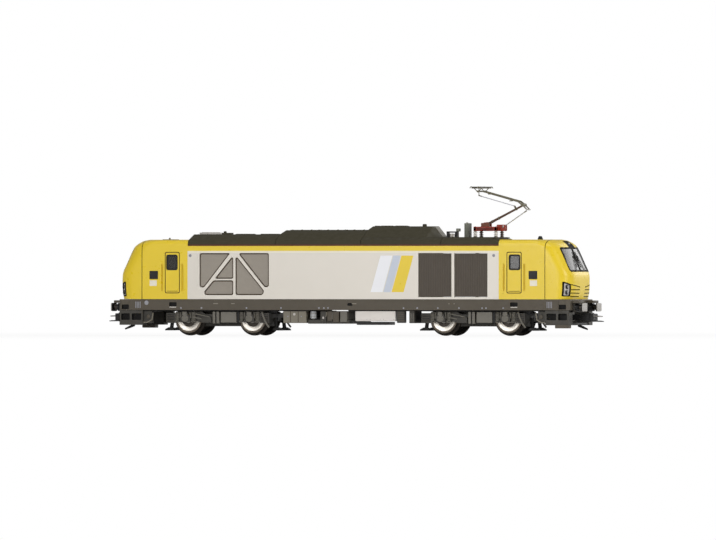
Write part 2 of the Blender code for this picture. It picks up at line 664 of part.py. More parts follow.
def build_bogie_frame(x, number):
    """Gear case between the wheels, with axle slots, cross arms and rail guards."""
    top = AXLE_Z + 6.1
    case = block((x - CASE_END, x + CASE_END), (-6.3, 6.3), (AXLE_Z - 3.1, top))
    boss = turned([(4.5, top - 0.5), (4.5, FRAME_FLOOR - 0.4)], (x, 0.0, 0.0), "Z", 24)
    reach = SIDE_FRAME_Y[0] - 2 * GAP
    arm_z = (AXLE_Z - 0.8, AXLE_Z + 2.7)
    pieces = [boss, block((x - 3, x + 3), (-reach, reach), (AXLE_Z - 0.8, AXLE_Z + 4.2))]
    for end in (-1, 1):
        arm = sorted((x + end * (GUARD_X - 2.8), x + end * (GUARD_X - 1.3)))
        link = sorted((x + end * (CASE_END - 1), x + end * (GUARD_X - 2.0)))
        stem = sorted((x + end * (GUARD_X - 1.6), x + end * (GUARD_X - 0.1)))
        foot = sorted((x + end * (GUARD_X - GUARD_FOOT), x + end * (GUARD_X + GUARD_FOOT)))
        pieces.append(block(arm, (-reach, reach), arm_z))
        pieces.append(block(link, (-3, 3), arm_z))
        for side in (-1, 1):
            y = handed(side, GUARD_Y - 0.8, GUARD_Y + 0.8)
            pieces.append(block(stem, y, (1.9, AXLE_Z + 1.0)))
            pieces.append(block(foot, handed(side, GUARD_Y - 1.2, GUARD_Y + 1.2), (1.2, 2.2)))
    hole_radius = PIVOT_RADIUS + PIN_ROOM
    holes = [turned([(hole_radius, FRAME_FLOOR - 3.6), (hole_radius, FRAME_FLOOR + 1)],
                    (x, 0.0, 0.0), "Z", 16)]
    for step in (-1, 1):
        centre = x + step * WHEELBASE / 2
        slot = AXLE_RADIUS + 0.6
        holes.append(block((centre - slot, centre + slot), (-7, 7), (0, AXLE_Z + slot)))
    frame = cut(join(case, *pieces), *holes)
    return solid(f"bogie_frame_{number}", frame, "bogie_grey", (x, 0.0, BOGIE_TOP))


def build_side_frame(x, number, side, word):
    """Bogie side frame: high over the axles and low in the middle, with axle boxes."""
    inner, outer = SIDE_FRAME_Y
    proud = outer + AXLE_BOX_PROUD
    beam_end = CASE_END - 1.0
    half = [(5.0, AXLE_Z + 2.0), (8.2, BOGIE_TOP), (beam_end, BOGIE_TOP),
            (beam_end, AXLE_Z - 0.1), (13.0, AXLE_Z - 0.1), (6.8, AXLE_Z - 1.6)]
    outline = half + [(-a, b) for a, b in reversed(half)]
    beam = prism([(x + a, b) for a, b in outline], handed(side, inner, outer))
    pieces = []
    for end in (-1, 1):
        centre = x + end * WHEELBASE / 2
        pieces.append(block((centre - 2.6, centre + 2.6), handed(side, inner, proud),
                            (AXLE_Z - 2.2, AXLE_Z + 3.0)))
        box = sorted((x + end * (beam_end - 0.5), x + end * (GUARD_X - 1.1)))
        pieces.append(block(box, handed(side, inner, outer), (AXLE_Z - 1.6, AXLE_Z + 3.0)))
    pieces.append(block((x - 7.2, x + 7.2), handed(side, inner, proud),
                        (AXLE_Z - 1.6, AXLE_Z + 1.8)))
    part = join(beam, *pieces)
    return solid(f"bogie_side_{number}_{word}", part, "bogie_grey", (x, 0.0, BOGIE_TOP))


# ---- underfloor equipment -----------------------------------------------------------
# columns: start and end as shares of the room between the bogies, bottom
TANK = (0.0, 0.19, 4.7)
CANISTER = (0.217, 0.268, 6.6)
AIR_BOXES = ((0.307, 0.356, 5.2), (0.363, 0.405, 5.6), (0.411, 0.461, 5.0), (0.47, 0.527, 5.2))
AIR_BASE = (0.2, 0.54, 4.4)
BATTERY = (0.594, 0.924, 5.6)
TRAY = (0.602, 0.864, 3.9)
FILTER = (0.935, 1.0, 4.8)
FAR_BATTERY = 0.79              # where the battery box ends on the far side
BATTERY_INNER = -4.0            # how far its longer half reaches across
TRAY_INNER = -6.0
FILTER_INNER = -13.0


def underfloor_box(place, half, top, far=None):
    """A box across the frame, from the right-hand side to far."""
    start, stop, low = place
    x = [UNDERFLOOR_END * (2 * share - 1) for share in (start, stop)]
    return block(x, (-half, half if far is None else far), (low, top))


def build_underfloor():
    top = SILL_BOTTOM - 2 * GAP
    half = HALF - 1.6
    solid("underfloor_tank", underfloor_box(TANK, half, top), "tank_grey")
    base = underfloor_box(AIR_BASE, half - 1, CANISTER[2] - 2 * GAP)
    boxes = [underfloor_box(box, half, top) for box in AIR_BOXES]
    solid("air_equipment", join(base, *boxes), "bogie_grey")
    solid("air_canister", underfloor_box(CANISTER, half, top), "light_grey")
    short = (BATTERY[0], FAR_BATTERY, BATTERY[2])
    battery = join(underfloor_box(BATTERY, half, top, BATTERY_INNER),
                   underfloor_box(short, half, top))
    solid("battery_box", battery, "light_grey")
    tray = underfloor_box(TRAY, half - 0.5, BATTERY[2] - 2 * GAP, TRAY_INNER)
    solid("battery_tray", tray, "black_plastic")
    solid("filter_box", underfloor_box(FILTER, half, top, FILTER_INNER), "bogie_grey")


# ---- pantograph ---------------------------------------------------------------------
def point(seat, y):
    return (seat[0], y, seat[1])


def short_of(start, end, distance, y=0.0):
    """The point on the way from start to end that stops short of end."""
    run = Vector(point(end, y)) - Vector(point(start, y))
    return tuple(Vector(point(end, y)) - run.normalized() * distance)


def nearest_on_arm(seat):
    """The point of the lower arm's centre line that is nearest to a seat."""
    foot, knee = Vector(point(PAN_FOOT, 0)), Vector(point(PAN_KNEE, 0))
    along = (knee - foot).normalized()
    return tuple(foot + along * (Vector(point(seat, 0)) - foot).dot(along))


def build_pantograph_base():
    """Open frame on four insulators, with the brackets of both lower pivots."""
    low, high = PAN_FRAME
    x0, x1 = PAN_BASE
    half = PAN_BASE_HALF
    bar = 1.4
    pieces = [block((x1 - bar, x1), (-half, half), (low, high))]
    for side in (-1, 1):
        pieces.append(block((x0, x1), handed(side, half - bar, half), (low, high)))
    for x in (x0 + bar / 2, x1 - bar / 2):
        for side in (-1, 1):
            centre = (x, side * (half - bar / 2), 0.0)
            foot = [(1.1, DECK_TOP + 2 * GAP), (1.1, low + 0.3)]
            pieces.append(turned(foot, centre, "Z", 12))
    foot_x = (PAN_FOOT[0] - 1.2, PAN_FOOT[0] + 1.2)
    pieces.append(block(foot_x, (-half, half), (low, high - 0.4)))
    rod_x = (x1 - bar, PAN_ROD_FOOT[0] + 1.0)
    # columns: range along X, half of the room between the cheeks, pivot
    for x, room, pivot in ((foot_x, 1.8, PAN_FOOT), (rod_x, 0.6, PAN_ROD_FOOT)):
        for side in (-1, 1):
            pieces.append(block(x, handed(side, room, room + 0.8), (low, pivot[1] + 0.9)))
    frame = join(block((x0, x0 + bar), (-half, half), (low, high)), *pieces)
    return solid("pantograph_base", frame, "red_oxide")


def build_lower_arm():
    bracket = rod(nearest_on_arm(PAN_LINK_LOW), point(PAN_LINK_LOW, 0), 0.5)
    inner = LINK_Y - 0.35
    arm = join(rod(point(PAN_FOOT, 0), point(PAN_KNEE, 0), 0.5),
               rod(point(PAN_FOOT, -inner), point(PAN_FOOT, inner), 1.0, 12),
               rod(point(PAN_FOOT, -1.6), point(PAN_FOOT, 1.6), 0.5),
               rod(point(PAN_KNEE, -1.3), point(PAN_KNEE, 1.3), 0.7, 12),
               rod(point(PAN_LINK_LOW, 0), point(PAN_LINK_LOW, inner), 0.3), bracket)
    solid("pantograph_lower_arm", arm, "arm_grey", point(PAN_FOOT, 0))


def build_upper_arm():
    tubes = []
    for side in (-1, 1):
        knee = point(PAN_KNEE, side * 2.0)
        tubes.append(rod(knee, point(PAN_HEAD, side * 2.2), 0.35))
        tubes.append(rod(knee, point(PAN_TAIL, side * 2.0), 0.32))
        tubes.append(rod(point(PAN_KNEE, side * 1.6), point(PAN_KNEE, side * 2.4), 0.7, 12))
    tubes.append(rod(point(PAN_HEAD, -4.3), point(PAN_HEAD, 4.3), 0.35))
    tubes.append(rod(point(PAN_TAIL, -2.4), point(PAN_TAIL, 2.4), 0.35))
    upper = join(tubes[0], *tubes[1:])
    solid("pantograph_upper_arm", upper, "arm_grey", point(PAN_KNEE, 0))


def build_pantograph_head():
    """Two contact strips with horns, on end plates that sit on the upper arm's shaft."""
    middle, shaft = PAN_HEAD
    low = shaft + 1.3
    pieces = []
    for x in (-1.7, 1.7):
        centre = middle + x
        pieces.append(block((centre - 0.5, centre + 0.5), (-7.5, 7.5), (low, low + 0.9)))
        for side in (-1, 1):
            pieces.append(rod((centre, side * 7.2, low + 0.5),
                              (centre, side * 11.2, low + 1.1), 0.35))
    for side in (-1, 1):
        pieces.append(block((middle - 2.0, middle + 2.0), handed(side, 4.6, 5.2),
                            (shaft - 0.5, low + 0.4)))
    pieces.append(block((middle - 1.7, middle + 1.7), (-0.4, 0.4), (low + 0.1, low + 0.7)))
    x, z = PAN_LINK_HIGH
    pieces.append(block((x - 0.35, x + 0.35), (-0.35, 0.35), (z, low + 0.4)))
    pieces.append(block((x - 0.35, x + 0.35), (-0.35, LINK_Y - 0.35), (z, z + 0.7)))
    head = join(pieces[0], *pieces[1:])
    solid("pantograph_head", head, "arm_grey", point(PAN_HEAD, 0))


def build_pantograph():
    build_pantograph_base()
    build_lower_arm()
    build_upper_arm()
    build_pantograph_head()
    control = rod(point(PAN_ROD_FOOT, 0), short_of(PAN_ROD_FOOT, PAN_TAIL, 1.0), 0.3)
    solid("pantograph_control_rod", control, "light_grey", point(PAN_ROD_FOOT, 0))
    link = rod(point(PAN_LINK_LOW, LINK_Y), point(PAN_LINK_HIGH, LINK_Y), 0.25)
    solid("pantograph_levelling_rod", link, "light_grey", point(PAN_LINK_LOW, 0))


def build_roof_gear():
    """Main switch and voltage transformer on the deck, a horn on the cab at end 2."""
    deck = DECK_TOP + 2 * GAP
    start = CAB_WALL - DECK_LENGTH + 0.5
    switch = join(block((start, start + 2.8), (2.5 - HALF * 0.75, -1.8), (deck, deck + 2.6)),
                  block((start + 0.6, start + 1.6), (1.5 - HALF * 0.75, -1.0),
                        (deck + 0.5, deck + 1.8)))
    solid("main_switch", switch, "light_grey")
    transformer = block((PAN_BASE[0] - 5.4, PAN_BASE[0] - 3.2), (-2.2, 2.2), (deck, deck + 6.2))
    solid("transformer_box", transformer, "tank_grey")
    profile = [(1.3, ROOF_HEIGHT + 2 * GAP), (1.2, ROOF_HEIGHT + 1.1), (0.7, ROOF_HEIGHT + 1.6)]
    solid("cab_roof_horn", turned(profile, (HORN_X, 0.0, 0.0), "Z", 12), "black_plastic")


# ---- everything ---------------------------------------------------------------------
def build():
    clear_scene()
    build_body_shell()
    build_roof()
    for side, word in ((-1, "right"), (1, "left")):
        build_side_grille(side, word)
        for number, ends in enumerate(louvre_ranges(), 1):
            build_louvre_panel(number, ends, side, word)
    build_motor_block()
    build_chassis_frame()
    for end, number in ((-1, 1), (1, 2)):
        build_nose_shell(end, number)
        build_cab_glazing(end, number)
        build_cab_interior(end, number)
        build_buffer_beam(end, number)
        build_pilot(end, number)
        build_coupler(end, number)
        centre = end * BOGIE_X
        build_bogie_frame(centre, number)
        for side, word in ((-1, "right"), (1, "left")):
            build_buffer(end, side, f"buffer_{number}_{word}")
            build_side_frame(centre, number, side, word)
        for axle, step in ((1, -1), (2, 1)):
            build_wheelset(centre + step * WHEELBASE / 2, f"wheelset_{number}_{axle}")
    build_underfloor()
    build_pantograph()
    build_roof_gear()


build()
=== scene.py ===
"""Looks of the 1:87 dual-mode locomotive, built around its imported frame.

Lengths are in millimetres and heights are above the rail top, as in the CAD part. X runs
along the locomotive, end 2 is at +X with the pantograph, and -Y is the right-hand side.
Shapes are given for end 2 and the left side, and Part(end, side) mirrors them from there.
Part.done() turns each piece into metres above the flange tips.
"""
import math

import bmesh
import bpy
from mathutils import Matrix, Vector


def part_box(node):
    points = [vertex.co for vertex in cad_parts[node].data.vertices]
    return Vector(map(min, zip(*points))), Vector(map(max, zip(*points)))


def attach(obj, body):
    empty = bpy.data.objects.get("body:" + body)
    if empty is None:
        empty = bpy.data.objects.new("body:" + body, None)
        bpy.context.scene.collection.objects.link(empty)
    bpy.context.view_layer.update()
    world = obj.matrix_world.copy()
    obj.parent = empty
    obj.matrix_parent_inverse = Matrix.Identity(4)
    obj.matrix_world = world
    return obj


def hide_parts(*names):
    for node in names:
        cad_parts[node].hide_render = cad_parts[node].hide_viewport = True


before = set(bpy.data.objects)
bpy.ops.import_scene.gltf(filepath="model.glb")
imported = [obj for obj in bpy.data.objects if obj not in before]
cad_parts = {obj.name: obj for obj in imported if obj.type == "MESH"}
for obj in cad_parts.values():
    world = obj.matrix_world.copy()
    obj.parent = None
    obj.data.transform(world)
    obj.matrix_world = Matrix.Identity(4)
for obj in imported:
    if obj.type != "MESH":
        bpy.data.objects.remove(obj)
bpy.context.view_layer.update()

MM = 0.001
GAP = 0.15                      # half of the gap between pieces that touch
RAIL_TOP = 1.1                  # rail top above the flange tips, where z is 0
SHARP = math.radians(38)        # edges sharper than this stay crisp
PAST = 5.0                      # how far a cutter reaches past what it cuts
BOTH = (-1, 1)                  # both ends, or both sides
CORNERS = tuple((end, side) for end in BOTH for side in BOTH)


# ---- sizes from the frame -----------------------------------------------------------
class Box:
    """A CAD node's box in millimetres above the rail top."""

    def __init__(self, node):
        low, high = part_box(node)
        self.x0, self.y0, self.z0 = (value / MM for value in low)
        self.x1, self.y1, self.z1 = (value / MM for value in high)
        self.z0 -= RAIL_TOP
        self.z1 -= RAIL_TOP
        self.x = (self.x0 + self.x1) / 2
        self.y = (self.y0 + self.y1) / 2
        self.z = (self.z0 + self.z1) / 2
        self.ranges = ((self.x0, self.x1), (self.y0, self.y1), (self.z0, self.z1))


BOX = {name: Box(name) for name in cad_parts}
HALF = BOX["body_shell"].y1
ROOF = BOX["body_shell"].z1
SILL_TOP = BOX["body_shell"].z0 - GAP
SEAM = BOX["nose_shell_2"].x0 - GAP
SPAN = BOX["buffer_2_right"].x1
CAB_WALL = BOX["roof_pantograph_deck"].x1 + 2 * GAP
ROOF_EDGE = BOX["roof_pantograph_deck"].z0 - GAP
DECK_TOP = BOX["roof_pantograph_deck"].z1
SILL_BOTTOM = BOX["chassis_frame"].z0
AXLE_Z = BOX["wheelset_1_1"].z
WHEELS = {n: [BOX[f"wheelset_{n}_{a}"].x for a in (1, 2)] for n in (1, 2)}
ENDS = ((-1, 1), (1, 2))        # direction of each end and its number
SIDES = ((-1, "right"), (1, "left"))


# ---- materials ----------------------------------------------------------------------
def linear(colour):
    """An 8-bit sRGB colour as a linear one."""
    shares = [channel / 255 for channel in colour]
    return (*(s / 12.92 if s <= 0.04045 else ((s + 0.055) / 1.055) ** 2.4 for s in shares), 1.0)


class Surface:
    """A Principled material with grain, roughness variation and bump from object space."""

    def __init__(self, name, colour, roughness, metallic=0.0, specular=0.5):
        self.material = bpy.data.materials.new(name)
        self.material.use_nodes = True
        self.tree = self.material.node_tree
        self.shader = self.tree.nodes["Principled BSDF"]
        self.roughness = roughness
        self.colour = self.material.diffuse_color = linear(colour)
        self.set(self.shader, ("Base Color", self.colour), ("Roughness", roughness),
                 ("Metallic", metallic), ("Specular IOR Level", specular))
        self.coordinates = self.node("ShaderNodeTexCoord").outputs["Object"]
        self.tint = None
        self.height = None

    @staticmethod
    def set(node, *values):
        for key, value in values:
            node.inputs[key].default_value = value

    def node(self, kind, **values):
        made = self.tree.nodes.new(kind)
        for key, value in values.items():
            setattr(made, key, value)
        return made

    def link(self, source, target):
        self.tree.links.new(source, target)

    def noise(self, scale, detail=3.0):
        """A noise value; scale is in features per metre."""
        noise = self.node("ShaderNodeTexNoise")
        self.set(noise, ("Scale", scale), ("Detail", detail))
        self.link(self.coordinates, noise.inputs["Vector"])
        return noise.outputs["Fac"]

    def ramp(self, value, low, high, start=0.3, stop=0.7):
        node = self.node("ShaderNodeMapRange")
        self.set(node, ("From Min", start), ("From Max", stop), ("To Min", low), ("To Max", high))
        self.link(value, node.inputs["Value"])
        return node.outputs["Result"]

    def shade(self, value, darkest):
        """Multiplies the base colour by darkest to 1, as value goes from 0 to 1."""
        mix = self.node("ShaderNodeMix", data_type="RGBA", blend_type="MULTIPLY")
        self.set(mix, ("Factor", 1.0))
        if self.tint is None:
            self.set(mix, ("A", self.colour))
        else:
            self.link(self.tint, mix.inputs["A"])
        grey = self.node("ShaderNodeCombineColor")
        level = self.ramp(value, darkest, 1.0, 0.0, 1.0)
        for channel in ("Red", "Green", "Blue"):
            self.link(level, grey.inputs[channel])
        self.link(grey.outputs["Color"], mix.inputs["B"])
        self.tint = mix.outputs["Result"]
        self.link(self.tint, self.shader.inputs["Base Color"])
        return self

    def rough(self, value, spread):
        level = self.ramp(value, self.roughness - spread, self.roughness + spread)
        self.link(level, self.shader.inputs["Roughness"])
        return self

    def bump(self, value, depth, strength=0.6):
        """Adds a bump; depth is in millimetres."""
        bump = self.node("ShaderNodeBump")
        self.set(bump, ("Strength", strength), ("Distance", depth * MM))
        self.link(value, bump.inputs["Height"])
        if self.height is not None:
            self.link(self.height, bump.inputs["Normal"])
        self.height = bump.outputs["Normal"]
        self.link(self.height, self.shader.inputs["Normal"])
        return self

    def wave(self, axis, pitch, sharp):
        """Ridges across an axis with a pitch in millimetres, from 0 to 1."""
        separate = self.node("ShaderNodeSeparateXYZ")
        self.link(self.coordinates, separate.inputs["Vector"])
        turn = self.node("ShaderNodeMath", operation="MULTIPLY")
        self.set(turn, (1, 2 * math.pi / (pitch * MM)))
        self.link(separate.outputs[axis], turn.inputs[0])
        sine = self.node("ShaderNodeMath", operation="SINE")
        self.link(turn.outputs["Value"], sine.inputs[0])
        return self.ramp(sine.outputs["Value"], 0.0, 1.0, -sharp, sharp)

    def product(self, first, second):
        node = self.node("ShaderNodeMath", operation="MULTIPLY")
        self.link(first, node.inputs[0])
        self.link(second, node.inputs[1])
        return node.outputs["Value"]

    def grain(self, cloud, spread, fine, size):
        """Soft clouding, roughness variation and a fine pebble; size in millimetres."""
        self.shade(self.noise(1 / (9 * MM), 4.0), cloud)
        self.rough(self.noise(1 / (2.5 * MM), 3.0), spread)
        return self.bump(self.noise(1 / (size * MM), 2.0), fine)


# columns: colour, roughness, metallic, specular, clouding, roughness spread, bump depth,
# size of the grain
PLAIN = {
    "yellow": ((230, 200, 40), 0.32, 0.0, 0.5, 0.955, 0.06, 0.006, 0.3),
    "silver": ((219, 213, 203), 0.36, 0.12, 0.4, 0.955, 0.07, 0.006, 0.25),
    "cream": ((232, 226, 208), 0.38, 0.0, 0.4, 0.955, 0.06, 0.006, 0.3),
    "white": ((238, 239, 243), 0.4, 0.0, 0.4, 0.96, 0.06, 0.005, 0.3),
    "pale_blue_grey": ((196, 203, 216), 0.4, 0.0, 0.4, 0.96, 0.06, 0.005, 0.3),
    "red_brown": ((92, 50, 38), 0.55, 0.0, 0.3, 0.9, 0.08, 0.01, 0.3),
    "line_dark": ((74, 56, 34), 0.6, 0.0, 0.2, 0.85, 0.08, 0.01, 0.2),
    "roof": ((66, 62, 47), 0.6, 0.0, 0.15, 0.86, 0.1, 0.02, 0.3),
    "sill": ((86, 79, 68), 0.5, 0.0, 0.3, 0.88, 0.09, 0.014, 0.3),
    "bogie": ((66, 63, 57), 0.5, 0.0, 0.35, 0.78, 0.12, 0.03, 0.35),
    # a lighter copy of the bogie grey, a painted highlight on springs, plates, levers and rods
    "bogie_light": ((116, 112, 103), 0.45, 0.0, 0.35, 0.8, 0.1, 0.02, 0.3),
    "black": ((30, 29, 28), 0.45, 0.0, 0.3, 0.8, 0.1, 0.012, 0.3),
    "screen_black": ((26, 25, 23), 0.6, 0.0, 0.05, 0.8, 0.08, 0.01, 0.3),
    "rubber": ((24, 23, 22), 0.62, 0.0, 0.2, 0.8, 0.1, 0.015, 0.25),
    "tank": ((131, 125, 112), 0.5, 0.0, 0.3, 0.88, 0.08, 0.014, 0.3),
    "pale_grey": ((196, 191, 184), 0.42, 0.0, 0.4, 0.9, 0.08, 0.01, 0.3),
    "box_silver": ((223, 217, 211), 0.4, 0.1, 0.4, 0.93, 0.07, 0.01, 0.3),
    "mark_grey": ((150, 150, 156), 0.45, 0.0, 0.3, 0.9, 0.07, 0.008, 0.3),
    "oxide": ((152, 52, 32), 0.46, 0.0, 0.35, 0.84, 0.1, 0.015, 0.25),
    "oxide_dark": ((104, 34, 24), 0.5, 0.0, 0.3, 0.84, 0.1, 0.015, 0.25),
    "buffer_face": ((176, 172, 166), 0.42, 0.3, 0.4, 0.88, 0.1, 0.012, 0.3),
    "panel_grey": ((120, 116, 107), 0.45, 0.0, 0.35, 0.86, 0.1, 0.02, 0.3),
    "cover_grey": ((138, 138, 144), 0.45, 0.1, 0.35, 0.9, 0.08, 0.01, 0.3),
    "transformer": ((124, 126, 114), 0.5, 0.0, 0.25, 0.88, 0.08, 0.014, 0.3),
    # the next two: the exhaust hood's end slope, painted light grey as a highlight, and its slats, a
    # darker grey on it
    "grille_light": ((150, 146, 136), 0.5, 0.0, 0.25, 0.88, 0.08, 0.014, 0.3),
    "grille_dark": ((112, 108, 98), 0.5, 0.0, 0.25, 0.88, 0.08, 0.014, 0.3),
    "canister": ((168, 170, 172), 0.4, 0.2, 0.4, 0.9, 0.08, 0.008, 0.3),
    # the far insulators' porcelain, painted darker as shade
    "porcelain_grey": ((120, 104, 98), 0.3, 0.0, 0.5, 0.9, 0.06, 0.004, 0.3),
    "brown_block": ((112, 62, 40), 0.5, 0.0, 0.3, 0.84, 0.1, 0.015, 0.25),
    "porcelain": ((226, 222, 214), 0.25, 0.0, 0.5, 0.92, 0.06, 0.004, 0.3),
    "carbon": ((44, 43, 40), 0.6, 0.0, 0.2, 0.8, 0.1, 0.02, 0.2),
    "interior": ((52, 52, 54), 0.6, 0.0, 0.25, 0.85, 0.1, 0.02, 0.4),
    "nickel": ((246, 240, 230), 0.45, 1.0, 0.5, 0.9, 0.06, 0.003, 0.2),
    "arm": ((104, 98, 78), 0.5, 0.1, 0.4, 0.85, 0.1, 0.01, 0.2),
    "arm_brown": ((92, 66, 52), 0.5, 0.1, 0.4, 0.85, 0.1, 0.01, 0.2),
    "rod": ((186, 186, 192), 0.35, 0.7, 0.5, 0.9, 0.08, 0.008, 0.2),
    "rod_light": ((196, 196, 204), 0.4, 0.3, 0.4, 0.92, 0.08, 0.006, 0.3),
    "tyre": ((128, 118, 106), 0.4, 0.6, 0.4, 0.85, 0.1, 0.008, 0.25),
    # dark metal of the buffer plungers, and painted shade over the wheels' flanges and treads
    "rim_dark": ((66, 60, 54), 0.42, 0.6, 0.4, 0.85, 0.1, 0.008, 0.25),
    "steel": ((150, 146, 140), 0.36, 0.9, 0.5, 0.88, 0.09, 0.008, 0.25),
    "cast": ((120, 120, 124), 0.5, 1.0, 0.5, 0.85, 0.1, 0.03, 0.5),
}


def make_ridged_look(name, colour, roughness, metallic, waves, darkest, cloud, depth):
    """Ridges in object space, darker in the troughs as painted shade between slats and between wires;
    waves are (axis, pitch, sharpness), and two make cells.
    """
    surface = Surface(name, colour, roughness, metallic, 0.3)
    ridges = surface.wave(*waves[0])
    for row in waves[1:]:
        ridges = surface.product(ridges, surface.wave(*row))
    # the troughs are painted darker, as shade between slats and between wires
    surface.shade(ridges, darkest).shade(surface.noise(1 / (cloud * MM), 4.0), 0.9)
    return surface.rough(surface.noise(1 / (2.5 * MM)), 0.08).bump(ridges, depth).material


def make_glass_look(name, colour, transmission):
    """Tinted clear plastic with faint moulding waves."""
    surface = Surface(name, colour, 0.06)
    surface.set(surface.shader, ("Transmission Weight", transmission), ("IOR", 1.46))
    surface.shade(surface.noise(1 / (8 * MM), 2.0), 0.9)
    surface.rough(surface.noise(1 / (5 * MM)), 0.03).bump(surface.noise(1 / (9 * MM), 1.0), 0.02)
    return surface.material


LOOKS = {name: Surface(name, *row[:4]).grain(*row[4:]).material for name, row in PLAIN.items()}
LOOKS["mesh"] = make_ridged_look("wire_mesh", (164, 156, 145), 0.55, 0.1,
                                 (("X", 0.55, 0.6), ("Z", 0.55, 0.6)), 0.86, 6, 0.08)
LOOKS["louvre"] = make_ridged_look("louvre_slats", (84, 76, 67), 0.52, 0.0,
                                   (("X", 0.85, 0.8),), 0.84, 7, 0.1)
LOOKS["glass"] = make_glass_look("tinted_pane", (104, 101, 98), 0.7)
LOOKS["lens"] = make_glass_look("lamp_lens", (226, 228, 232), 0.5)
ORDER = list(LOOKS)


# ---- shapes -------------------------------------------------------------------------
# where the two coordinates of an outline and the one across it go
PLACE = {"X": lambda a, b, c: (c, a, b), "Y": lambda a, b, c: (a, c, b),
         "Z": lambda a, b, c: (a, b, c)}


def around(middle, half):
    return (middle - half, middle + half)


def along(start, end, share):
    """The point at a share of the way."""
    return tuple(a + (b - a) * share for a, b in zip(start, end))


def rectangle(x, z, radius=0.0):
    corners = [(x[0], z[0]), (x[1], z[0]), (x[1], z[1]), (x[0], z[1])]
    return rounded(corners, radius) if radius else corners


def rounded(outline, radius, steps=4):
    """The outline with every corner rounded."""
    corners = [Vector(corner) for corner in outline]
    points = []
    for i, corner in enumerate(corners):
        before, after = corners[i - 1] - corner, corners[(i + 1) % len(corners)] - corner
        room = min(radius, before.length * 0.48, after.length * 0.48)
        start, stop = corner + before.normalized() * room, corner + after.normalized() * room
        for step in range(steps + 1):
            t = step / steps
            points.append(tuple(start * (1 - t) ** 2 + corner * 2 * t * (1 - t) + stop * t ** 2))
    return points


def inset(outline, distance):
    """A convex outline, counterclockwise, with every edge moved in."""
    corners = [Vector(corner) for corner in outline]
    moved = []
    for i, corner in enumerate(corners):
        before = (corner - corners[i - 1]).normalized()
        after = (corners[(i + 1) % len(corners)] - corner).normalized()
        inward = Vector((-before.y - after.y, before.x + after.x))
        moved.append(tuple(corner + inward * distance / (1 + before.dot(after))))
    return moved


def on_circle(radius, count, first=0.0):
    """Points around a circle."""
    angles = [2 * math.pi * (i + first) / count for i in range(count)]
    return [(radius * math.cos(angle), radius * math.sin(angle)) for angle in angles]


